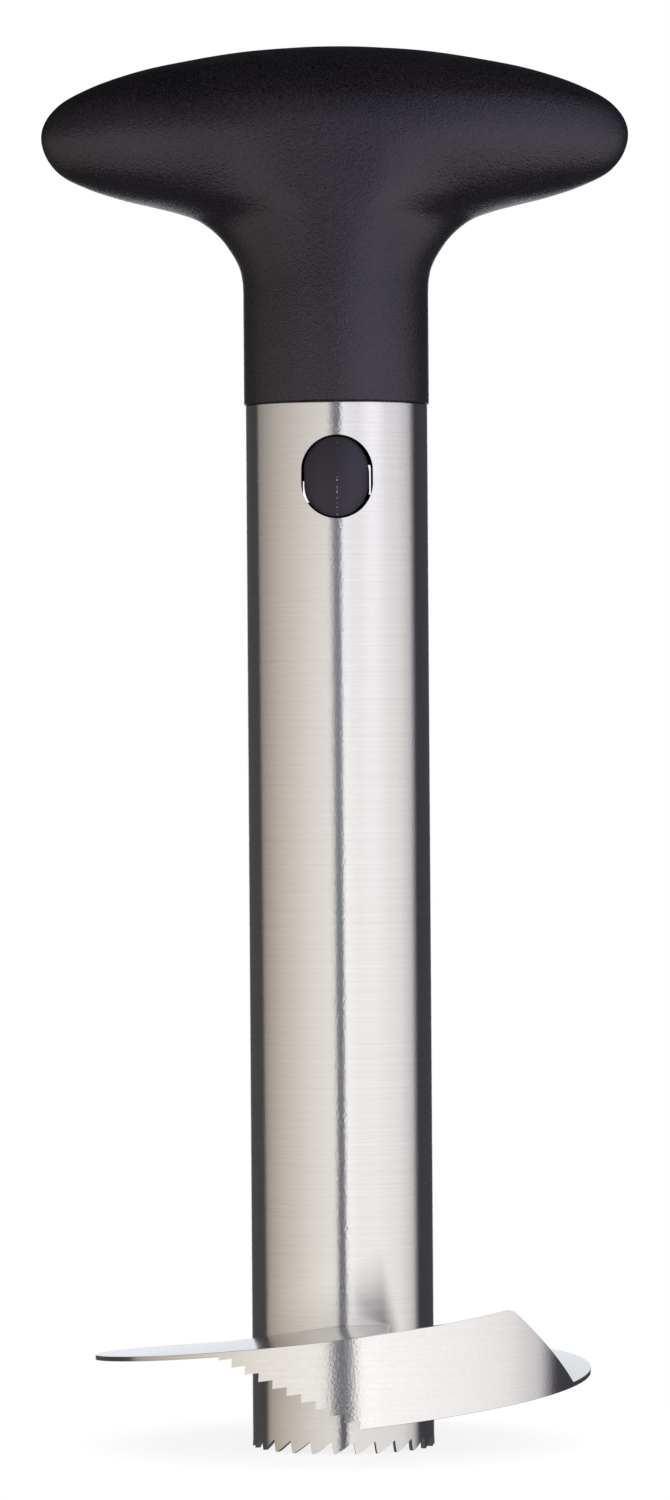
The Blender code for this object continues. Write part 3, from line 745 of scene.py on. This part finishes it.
def draw_in(shape, grip):
    """Thins the handle below its bar, to each side of the stem."""
    start = SKIN_BOX[1].z - grip.crown_height - grip.fillet_height
    low, peak, high = WAIST_HEIGHT_SHARES
    inner, outer = (grip.stem_radius * share for share in WAIST_SIDE_SHARES)
    for vert in shape.verts:
        up = (vert.co.z - start) / grip.fillet_height
        level = soft_step(up, low, peak) * (1 - soft_step(up, peak, high))
        vert.co.y *= 1 - WAIST_SHARE * level * soft_step(abs(vert.co.x), inner, outer)


def grip_shape(grip):
    """The handle's outside: rings from the rounded foot to the top, open below."""
    sections = []
    seam = SEAM_HEIGHT - grip.foot_drop
    for i in range(FOOT_STEPS + 1):
        turn = pi / 2 * i / FOOT_STEPS
        radius = grip.stem_radius - grip.foot_round * (1 - sin(turn))
        sections.append(Vector((radius, radius, seam + grip.foot_round * (1 - cos(turn)))))
    sections += eased(handle_stations(grip), RINGS_PER_SPAN)
    shape = bmesh.new()
    made = bmesh.ops.create_circle(shape, cap_ends=False, segments=HANDLE_SIDES, radius=1.0)
    directions = {vert: vert.co.copy() for vert in made["verts"]}
    edges = shape.edges[:]
    for i, section in enumerate(sections):
        if i:
            extruded = bmesh.ops.extrude_edge_only(shape, edges=edges)["geom"]
            edges = [part for part in extruded if isinstance(part, bmesh.types.BMEdge)]
            ring = [part for part in extruded if isinstance(part, bmesh.types.BMVert)]
            before = sections[i - 1]
            directions = {
                vert: Vector((vert.co.x / before.x, vert.co.y / before.y, 0.0)) for vert in ring
            }
        for vert, way in directions.items():
            vert.co = (way.x * section.x, way.y * section.y, section.z)
    bmesh.ops.contextual_create(shape, geom=edges)
    draw_in(shape, grip)
    outward(shape)
    # An open shape can come out of that inside out
    face = shape.faces[0]
    if face.normal.dot(face.calc_center_median() - Vector((0, 0, SEAM_HEIGHT))) < 0:
        bmesh.ops.reverse_faces(shape, faces=shape.faces)
    return shape


def grip_surface(graph, colour):
    grain = graph.noise(0.38 * MM, roughness=0.6)
    coarse = graph.noise(1.1 * MM, detail=1.0, seed=4.0)
    cloud = graph.noise(16 * MM, seed=9.0)
    tone = (grain * 0.8 + cloud * 0.2).rise(0.35, 0.65)
    return {
        "Base Color": graph.mix(tone, shaded(colour, 0.2), shaded(colour, 1.8)),
        "Roughness": 0.2 + grain * 0.16,
        "Specular Tint": (0.92, 0.85, 1.0, 1.0),
        "heights": ((coarse, 0.04 * MM, 0.6), (grain, 0.12 * MM, 1.0)),
    }


class CORER_OT_grip_skin(Operator):
    """Makes the soft black skin of the T handle"""
    bl_idname = "corer.grip_skin"
    bl_label = "Grip skin"

    def execute(self, context):
        grip = context.scene.corer_handle
        black = finish_material("black_grip", grip_surface, grip.colour)
        piece = new_piece(
            "grained_grip_skin", grip_shape(grip), "handle", black, ["grip_skin"],
        )
        wall = piece.modifiers.new("skin", "SOLIDIFY")
        wall.thickness = grip.skin
        wall.offset = -1.0
        wall.use_rim = True
        settle(piece, SKIN_SHARP)
        return {"FINISHED"}


# Core halves and their screws

CORE_COLOUR = (0.018, 0.0175, 0.021)
CORE_SHARP = 30.0
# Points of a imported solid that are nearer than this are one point
MERGE_REACH = 0.001 * MM
ZINC = (0.55, 0.56, 0.58)


def plastic_surface(graph, colour):
    grain = graph.noise(0.5 * MM)
    cloud = graph.noise(7 * MM, seed=2.0)
    return {
        "Base Color": graph.mix(cloud, shaded(colour, 0.85), shaded(colour, 1.2)),
        "Roughness": 0.42 + grain * 0.12,
        "heights": ((grain, 0.01 * MM, 0.3),),
    }


def bright_metal_surface(graph, colour):
    """Zinc plate or drawn wire."""
    cloud = graph.noise(1.2 * MM, roughness=0.6)
    return {
        "Base Color": graph.mix(cloud, shaded(colour, 0.9), shaded(colour, 1.08)),
        "Metallic": 1.0,
        "Roughness": 0.28 + cloud * 0.14,
        "heights": ((cloud, 0.004 * MM, 0.3),),
    }


class CORER_OT_core(Operator):
    """Finishes the core's two halves and its screws"""
    bl_idname = "corer.core"
    bl_label = "Core and screws"

    def execute(self, context):
        plastic = finish_material("core_plastic", plastic_surface, CORE_COLOUR)
        for node in ("core_front", "core_rear"):
            shape = bmesh.new()
            shape.from_mesh(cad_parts[node].data)
            bmesh.ops.remove_doubles(shape, verts=shape.verts, dist=MERGE_REACH)
            draw_in(shape, context.scene.corer_handle)
            new_piece(
                "moulded_" + node, shape, "handle", plastic, [node], CORE_SHARP,
            )
        zinc = finish_material("screw_steel", bright_metal_surface, ZINC)
        for place in ("left", "right", "stem"):
            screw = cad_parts["core_screw_" + place]
            screw.data.materials.clear()
            screw.data.materials.append(zinc)
        return {"FINISHED"}


# Release buttons and their springs

BUTTON_SIDES = 96
# Width of the strips in which a button's face is bent
BUTTON_STRIP = 0.4 * MM
BUTTON_SLICE_REACH = 1e-7
# An edge of a button's face that turns by more degrees than this is rounded
FACE_CORNER = 40.0
FACE_SEGMENTS = 3
LIP_ROUND = 0.2 * MM
PEG_SIDES = 48
PEG_ROUND = 0.25 * MM

# Mould line down a button, and pale specks along it, which thin out above the button's middle
LINE_HALF_WIDTHS = 0.05 * MM, 0.14 * MM
LINE_SPECK_COLOUR = (0.6, 0.6, 0.62)
LINE_SPECK_LEVELS = 0.54, 0.64
LINE_SPECK_THINNING = 0.12
LINE_SPECK_THINNING_RISE = -1.0 * MM, 1.0 * MM

WIRE_COLOUR = (0.5, 0.5, 0.52)
WIRE_SIDES = 12
STEPS_PER_TURN = 48


def button_shape(button, reach):
    """A button's oval front part, whose face is bent to the plug's radius in upright strips."""
    shape = oval(button.width, button.height, 0.0, -button.back, BUTTON_SIDES)
    bmesh.ops.translate(shape, verts=shape.verts, vec=(-button.aside, 0, 0))
    bmesh.ops.translate(shape, verts=doubled(shape), vec=(0, button.back - reach, 0))
    strips = int(button.width / 2 / BUTTON_STRIP)
    for i in range(-strips, strips + 1):
        slice_at(shape, i * BUTTON_STRIP, BUTTON_SLICE_REACH)
    middle = -(button.back + reach) / 2
    for vert in shape.verts:
        if vert.co.y < middle:
            vert.co.y = -sqrt(reach ** 2 - vert.co.x ** 2)
    outward(shape)
    rim = [e for e in sharp_edges(shape, FACE_CORNER) if all(v.co.y < middle for v in e.verts)]
    round_edges(shape, rim, button.edge, FACE_SEGMENTS)
    return shape


def lips_shape(button, height):
    """The flat bar behind a button whose ends are its two lips."""
    shape = bmesh.new()
    bmesh.ops.create_cube(shape, size=1.0)
    bmesh.ops.scale(shape, verts=shape.verts, vec=(button.lip_width, button.lip_thickness, height))
    behind = (0, -button.back - button.lip_thickness / 2, 0)
    bmesh.ops.translate(shape, verts=shape.verts, vec=behind)
    round_edges(shape, shape.edges[:], LIP_ROUND)
    return shape


def peg_shape(button, tip):
    """The round peg that a button's spring sits on."""
    shape = bmesh.new()
    root = -button.back - button.lip_thickness / 2
    bmesh.ops.create_cone(
        shape, cap_ends=True, segments=PEG_SIDES, radius1=button.peg_radius,
        radius2=button.peg_radius, depth=tip - root,
    )
    bmesh.ops.rotate(shape, verts=shape.verts, matrix=TO_FRONT)
    bmesh.ops.translate(shape, verts=shape.verts, vec=(0, (tip + root) / 2, 0))
    round_edges(shape, sharp_edges(shape), PEG_ROUND)
    return shape


def button_surface(graph, colour, middle):
    x, _, z = graph.axes()
    grain = graph.noise(0.4 * MM)
    cloud = graph.noise(5 * MM, seed=2.0)
    line = 1 - abs(x).rise(*LINE_HALF_WIDTHS)
    # Pale specks along the line, fewer above the button's middle
    line_specks = graph.noise((2 * MM, 2 * MM, 0.55 * MM), roughness=0.6, seed=6.0)
    line_specks = line_specks - (z - middle).rise(*LINE_SPECK_THINNING_RISE) * LINE_SPECK_THINNING
    plain = graph.mix(cloud, shaded(colour, 0.8), shaded(colour, 1.25))
    return {
        "Base Color": graph.mix(line * line_specks.rise(*LINE_SPECK_LEVELS), plain, LINE_SPECK_COLOUR),
        "Roughness": 0.38 + grain * 0.12,
        "Specular Tint": (0.88, 0.82, 1.0, 1.0),
        "heights": ((grain, 0.02 * MM, 0.5), (line, 0.05 * MM, 0.6)),
    }


class CORER_OT_buttons(Operator):
    """Makes the front and the rear release button"""
    bl_idname = "corer.buttons"
    bl_label = "Release buttons"

    def execute(self, context):
        button = context.scene.corer_button
        low, high = BUTTON_BOX
        middle = (low.z + high.z) / 2
        plastic = finish_material("button_plastic", button_surface, button.colour, middle)
        for side, turn in (("front", 0.0), ("rear", pi)):
            node = side + "_button"
            piece = new_piece(
                "moulded_" + node, button_shape(button, -low.y), side + "_release",
                plastic, [node],
            )
            cut(piece, lips_shape(button, high.z - low.z), "UNION")
            cut(piece, peg_shape(button, high.y), "UNION")
            seat = Matrix.Translation((0, 0, middle)) @ Matrix.Rotation(turn, 4, "Z")
            reshape(piece, lambda shape: bmesh.ops.transform(shape, matrix=seat, verts=shape.verts))
        return {"FINISHED"}


def spring_shape(spring, start, end, level, sign):
    """A wire wound from y = start, behind its button, to y = end."""
    shape = bmesh.new()
    bmesh.ops.create_circle(shape, cap_ends=False, segments=WIRE_SIDES, radius=spring.wire / 2)
    bmesh.ops.translate(shape, verts=shape.verts, vec=(spring.coil_radius, 0, 0))
    steps = spring.turns * STEPS_PER_TURN
    bmesh.ops.spin(
        shape, geom=shape.verts[:] + shape.edges[:], axis=(0, sign, 0),
        dvec=(0, (end - start) / steps, 0), angle=2 * pi * spring.turns, steps=steps,
    )
    ends = [e for e in shape.edges if e.is_boundary]
    bmesh.ops.holes_fill(shape, edges=ends, sides=WIRE_SIDES)
    bmesh.ops.translate(shape, verts=shape.verts, vec=(0, start, level))
    return outward(shape)


class CORER_OT_springs(Operator):
    """Winds the two button springs"""
    bl_idname = "corer.springs"
    bl_label = "Button springs"

    def execute(self, context):
        spring = context.scene.corer_spring
        wire = finish_material("spring_steel", bright_metal_surface, WIRE_COLOUR)
        for side, sign in (("front", 1), ("rear", -1)):
            node = side + "_button_spring"
            low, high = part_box(node)
            level = (low.z + high.z) / 2
            start, end = low.y + spring.wire / 2, high.y - spring.wire / 2
            if side == "rear":
                start, end = end, start
            shape = spring_shape(spring, start, end, level, sign)
            piece = new_piece("wound_" + node, shape, "handle", wire, [node])
            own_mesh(piece)
        return {"FINISHED"}


# Studio

PHOTO_WIDTH, PHOTO_HEIGHT = 670, 1500
SENSOR = 36.0
FOCAL_PIXELS = 6539.0
CAMERA_DISTANCE = 1114 * MM
CAMERA_HEIGHT = 122.8 * MM
CAMERA_CLIP = 0.01, 20.0
# The photo's row at the camera's height, its column at the tube's axis, and its turn in degrees
HORIZON_PIXEL = 724.0
AXIS_PIXEL = 338.9
ROLL = -0.4

SET_RADIUS = 0.5
SET_FOOT, SET_TOP = -0.14, 0.6
SET_WALL = ((SET_RADIUS, SET_FOOT), (SET_RADIUS, SET_TOP))
# Radius of the opening in the middle of each level sheet, and degrees between its edges
SET_MIDDLE = 0.1 * MM
SET_STEP = 3

# Where the softboxes start beside the camera and end at the backdrop
CAMERA_GAP = 4.6
BACK_GAP = 166.0
# Level of each softbox, and what it loses between two angles; last, along its slanting end
LEFT_LEVEL, RIGHT_LEVEL = 1.22, 1.5
LEFT_FALLS = (0.1, 15, 35), (0.36, 35, 80), (0.34, 80, 112)
RIGHT_FALLS = (0.14, 8, 20), (0.12, 25, 60), (0.14, 60, 84)
RIGHT_END_FALLS = ((0.25, 82, 98),)
# Angles over which a softbox turns into its dark card, and that end's lean per metre of height
LEFT_END, RIGHT_END = (110, 112), (101, 113)
LEFT_SLANT, RIGHT_SLANT = 35.0, 22.0
# Height at which the right end stands at its angles, and how it steps back between two heights
RIGHT_SLANT_HEIGHT = 0.1
RIGHT_STEP = 8
RIGHT_STEP_RISE = 0.19, 0.25
# Level and tint of the dark cards
LEFT_DARK, RIGHT_DARK = 0.09, 0.075
LEFT_CARD, RIGHT_CARD = (1.0, 0.93, 0.97), (0.92, 0.88, 1.06)
# Colour of the left softbox where it nears the camera, and the angles over which it fades
LEFT_PALE = (1.0, 0.975, 0.945)
LEFT_PALE_END = 15, 90
# Glow of the softboxes' foot as a share of their level, and what it loses between two heights
FOOT_LEVEL = 1.28
FOOT_FALLS = (0.16, 0.0, 0.2), (0.12, -0.1, 0.0)
# Share of its glow that each wall keeps at its top, and the heights over which it drops to that
LEFT_UPPER, RIGHT_UPPER = 0.27, 0.58
UPPER_RISE = 0.21, 0.28
# What the handle sees: tint of each softbox, and the right one's extra glow beside the stem
HANDLE_RISE = 0.21, 0.235
LEFT_HIGH, RIGHT_HIGH = (1.0, 0.92, 0.96), (0.93, 0.93, 1.12)
STEM_GLOW = 0.8
STEM_START, STEM_END = (28, 42), (52, 66)
# What the tube's top sees: extra glow of each softbox
TOP_RISE = 0.165, 0.205
LEFT_TOP_GLOW, RIGHT_TOP_GLOW = 0.65, 0.32
# Where the left softbox ends beside the camera: angle below, more angle above, half the width
# of the blur, and the share of its glow that is left
GAP_ANGLE, GAP_MORE = 5.3, 4.8
GAP_RISE = 0.11, 0.165
GAP_BLUR = 1.5
GAP_SHARE = 0.3
# Glow of the gap beside the camera: below, more above, and less again above the tube
GAP_GLOW, GAP_GLOW_MORE, GAP_GLOW_LESS = 0.24, 0.38, 0.47
GAP_GLOW_RISE = 0.07, 0.12
GAP_TINT = (0.82, 0.85, 1.0)

# What each side adds to the ceiling's glow: sign of X, glow, and the radii and distances aside
# over which it grows; then where that ends towards the back
CEILING_GLOW = 0.02
CEILING_PARTS = (-1.0, 0.2, (0.28, 0.5), (0.0, 0.4)), (1.0, 0.75, (0.2, 0.5), (0.0, 0.35))
CEILING_BACK = -0.1, 0.1
CEILING_TINT = (1.0, 0.98, 0.98)
TABLE_TINT, TABLE_GLOW = (0.95, 0.92, 1.0), 0.12
BACKDROP_TINT = (0.975, 1.01, 1.07)
# Share of its glow that the backdrop loses, and between which heights
BACKDROP_LOSS = 0.95
BACKDROP_RISE = 0.3, 0.33
# The floor's paper, its glow near the object, and the radii over which it turns into even white
PAPER = (0.4, 0.4, 0.4, 1.0)
NEAR_GLOW = 0.84
FAR_RISE = 0.015, 0.1
FLOOR_RADIUS = 4.0
# The world's level, and what is added to it where it is seen
WORLD_LEVEL, WORLD_SEEN_MORE = 0.7, 0.3


def sector(name, start, end, points, material):
    """Part of a ring round the object, swept from an edge between angles from the camera."""
    shape = bmesh.new()
    verts = [shape.verts.new(polar(radius, start - 90, height)) for radius, height in points]
    edge = shape.edges.new(verts)
    bmesh.ops.spin(
        shape, geom=verts + [edge], axis=(0, 0, 1), angle=radians(end - start),
        steps=ceil(abs(end - start) / SET_STEP),
    )
    item = made_object(name, shape)
    item.data.materials.append(material)
    return item


def glowing(name, light, *values):
    """A glow; light gives its colour and its strength from the graph."""
    material = bpy.data.materials.new(name)
    graph = Graph(material)
    colour, strength = light(graph, *values)
    if isinstance(colour, tuple):
        colour = (*colour, 1.0)
    glow = graph.node("ShaderNodeEmission", {"Color": colour, "Strength": strength})
    graph.ends("ShaderNodeOutputMaterial", glow.outputs[0])
    return material


def from_camera(x, y):
    """Angle round the object from the camera's side, in degrees."""
    return x.math("ARCTAN2", abs(x), -1.0 * y) * (180 / pi)


def falling(level, place, falls):
    """A level that loses a number between each pair of places."""
    for loss, start, end in falls:
        level = level - loss * place.rise(start, end)
    return level


def wall_level(softbox, card, dark, upper, z):
    """A softbox that is brighter towards the floor, and the dark card where it ends."""
    lit = softbox * falling(FOOT_LEVEL, z, FOOT_FALLS)
    return (dark + (lit - dark) * (1 - card)) * (1 + (upper - 1) * z.rise(*UPPER_RISE))


def left_light(graph, lamp):
    x, y, z = graph.axes()
    angle = from_camera(x, y)
    card = (angle - LEFT_SLANT * z).rise(*LEFT_END)
    above = z.rise(*HANDLE_RISE)
    gap = GAP_ANGLE + GAP_MORE * (z.rise(*GAP_RISE) - above)
    softbox = falling(LEFT_LEVEL, angle, LEFT_FALLS)
    softbox = softbox * (GAP_SHARE + (1 - GAP_SHARE) * (angle - gap).rise(-GAP_BLUR, GAP_BLUR))
    softbox = softbox * (1 + LEFT_TOP_GLOW * (z.rise(*TOP_RISE) - above))
    low = graph.mix(angle.rise(*LEFT_PALE_END), LEFT_PALE, lamp)
    colour = graph.mix(card, graph.mix(above, low, LEFT_HIGH), LEFT_CARD)
    return colour, wall_level(softbox, card, LEFT_DARK, LEFT_UPPER, z)


def right_light(graph, lamp):
    x, y, z = graph.axes()
    angle = from_camera(x, y)
    past = angle - RIGHT_SLANT * (z - RIGHT_SLANT_HEIGHT) + RIGHT_STEP * z.rise(*RIGHT_STEP_RISE)
    card = past.rise(*RIGHT_END)
    above = z.rise(*HANDLE_RISE)
    stem = above * angle.rise(*STEM_START) * (1 - angle.rise(*STEM_END))
    more = STEM_GLOW * stem + RIGHT_TOP_GLOW * (z.rise(*TOP_RISE) - above)
    softbox = falling(falling(RIGHT_LEVEL, angle, RIGHT_FALLS), past, RIGHT_END_FALLS)
    colour = graph.mix(card, graph.mix(above, lamp, RIGHT_HIGH), RIGHT_CARD)
    return colour, wall_level(softbox * (1 + more), card, RIGHT_DARK, RIGHT_UPPER, z)


def ceiling_light(graph):
    """Brighter towards the walls and the right, dark above and behind the object."""
    x, y, _ = graph.axes()
    glow = 0.0
    for sign, more, out, aside in CEILING_PARTS:
        glow = glow + more * from_axis(x, y).rise(*out) * (sign * x).rise(*aside)
    return CEILING_TINT, CEILING_GLOW + glow * (1 - y.rise(*CEILING_BACK))


def gap_light(graph):
    """The dark gap beside the camera, paler where the tube's upper part sees it."""
    z = graph.axes()[2]
    glow = GAP_GLOW + GAP_GLOW_MORE * z.rise(*GAP_GLOW_RISE) - GAP_GLOW_LESS * z.rise(*HANDLE_RISE)
    return GAP_TINT, glow


def backdrop_light(graph):
    z = graph.axes()[2]
    return BACKDROP_TINT, 1 - BACKDROP_LOSS * z.rise(*BACKDROP_RISE)


class CORER_OT_studio(Operator):
    """Sets up the floor, the softboxes, the dark cards, the world and the camera"""
    bl_idname = "corer.studio"
    bl_label = "Studio"

    def execute(self, context):
        self.surroundings(context.scene.corer_studio)
        self.floor()
        self.world(context.scene)
        self.camera(context.scene)
        context.scene.view_settings.view_transform = "Standard"
        return {"FINISHED"}

    def surroundings(self, studio):
        """What the object reflects. Only the softboxes light it as well."""
        left = shaded(studio.left_light, studio.strength)
        right = shaded(studio.right_light, studio.strength)
        over, under = (((SET_MIDDLE, z), (SET_RADIUS, z)) for z in (SET_TOP, SET_FOOT))
        for name, start, end, edge, light, *lamp in (
            ("left_softbox", -CAMERA_GAP, -BACK_GAP, SET_WALL, left_light, left),
            ("right_softbox", CAMERA_GAP, BACK_GAP, SET_WALL, right_light, right),
            ("front_dark_wall", -CAMERA_GAP, CAMERA_GAP, SET_WALL, gap_light),
            ("backdrop_card", BACK_GAP, 360 - BACK_GAP, SET_WALL, backdrop_light),
            ("ceiling", 0, 360, over, ceiling_light),
            ("dark_table", 0, 360, under, lambda graph: (TABLE_TINT, TABLE_GLOW)),
        ):
            item = sector(name, start, end, edge, glowing(name, light, *lamp))
            item.visible_camera = False
            item.visible_diffuse = bool(lamp)
            item.visible_volume_scatter = False
            item.visible_shadow = False

    def floor(self):
        """White to the camera: lit paper near the object, an even glow farther out."""
        white = bpy.data.materials.new("pale_floor")
        graph = Graph(white)
        x, y, _ = graph.axes()
        far = from_axis(x, y).rise(*FAR_RISE)
        paper = graph.node("ShaderNodeBsdfDiffuse", {"Color": PAPER}).outputs[0]
        glow = graph.node("ShaderNodeEmission", {"Strength": NEAR_GLOW}).outputs[0]
        near = graph.node("ShaderNodeAddShader", {0: paper, 1: glow}).outputs[0]
        even = graph.node("ShaderNodeEmission", {"Strength": 1.0}).outputs[0]
        lit = graph.node("ShaderNodeMixShader", {0: far, 1: near, 2: even}).outputs[0]
        seen = graph.node("ShaderNodeMixShader", {0: self.seen(graph), 1: paper, 2: lit})
        graph.ends("ShaderNodeOutputMaterial", seen.outputs[0])
        ground = sector("pale_floor", 0, 360, ((SET_MIDDLE, 0.0), (FLOOR_RADIUS, 0.0)), white)
        ground.visible_glossy = False
        ground.visible_shadow = False

    def seen(self, graph):
        """1 for what the camera, metal and glass see."""
        rays = graph.node("ShaderNodeLightPath")
        names = ("Is Camera Ray", "Is Glossy Ray", "Is Transmission Ray")
        camera, glossy, clear = (Signal(graph, rays.outputs[name]) for name in names)
        return (camera + glossy + clear).clamp()

    def world(self, scene):
        scene.world = bpy.data.worlds.new("white_studio")
        graph = Graph(scene.world)
        light = graph.node("ShaderNodeBackground", {
            "Color": (1.0, 1.0, 1.0, 1.0),
            "Strength": WORLD_LEVEL + WORLD_SEEN_MORE * self.seen(graph),
        })
        graph.ends("ShaderNodeOutputWorld", light.outputs[0])

    def camera(self, scene):
        lens = bpy.data.cameras.new("camera")
        lens.sensor_width = SENSOR
        lens.lens = FOCAL_PIXELS / PHOTO_HEIGHT * SENSOR
        lens.clip_start, lens.clip_end = CAMERA_CLIP
        camera = bpy.data.objects.new("camera", lens)
        scene.collection.objects.link(camera)
        pixel = CAMERA_DISTANCE / FOCAL_PIXELS
        aside = -(AXIS_PIXEL - PHOTO_WIDTH / 2) * pixel
        down = (PHOTO_HEIGHT / 2 - HORIZON_PIXEL) / FOCAL_PIXELS
        camera.matrix_world = (
            Matrix.Translation((aside, -CAMERA_DISTANCE, CAMERA_HEIGHT))
            @ Matrix.Rotation(pi / 2 - down, 4, "X")
            @ Matrix.Rotation(radians(ROLL), 4, "Z")
        )
        scene.camera = camera


# Panel and registration

STEPS = (
    CORER_OT_coring_tube, CORER_OT_slicing_blade, CORER_OT_grip_skin, CORER_OT_core,
    CORER_OT_buttons, CORER_OT_springs, CORER_OT_studio,
)


class CORER_PT_pieces(Panel):
    """Lists the steps that build the corer and its studio"""
    bl_idname = "CORER_PT_pieces"
    bl_label = "Pineapple corer"
    bl_space_type = "VIEW_3D"
    bl_region_type = "UI"
    bl_category = "Corer"

    def draw(self, context):
        for step in STEPS:
            self.layout.operator(step.bl_idname)


SETTINGS = {
    "corer_tube": TubeSettings,
    "corer_blade": BladeSettings,
    "corer_handle": HandleSettings,
    "corer_button": ButtonSettings,
    "corer_spring": SpringSettings,
    "corer_studio": StudioSettings,
}
CLASSES = (*SETTINGS.values(), *STEPS, CORER_PT_pieces)


def register():
    for kind in CLASSES:
        bpy.utils.register_class(kind)
    for name, kind in SETTINGS.items():
        setattr(bpy.types.Scene, name, PointerProperty(type=kind))


def unregister():
    for name in SETTINGS:
        delattr(bpy.types.Scene, name)
    for kind in reversed(CLASSES):
        bpy.utils.unregister_class(kind)


def main():
    register()
    bpy.ops.corer.coring_tube()
    bpy.ops.corer.slicing_blade()
    bpy.ops.corer.grip_skin()
    bpy.ops.corer.core()
    bpy.ops.corer.buttons()
    bpy.ops.corer.springs()
    bpy.ops.corer.studio()


if __name__ == "__main__":
    main()
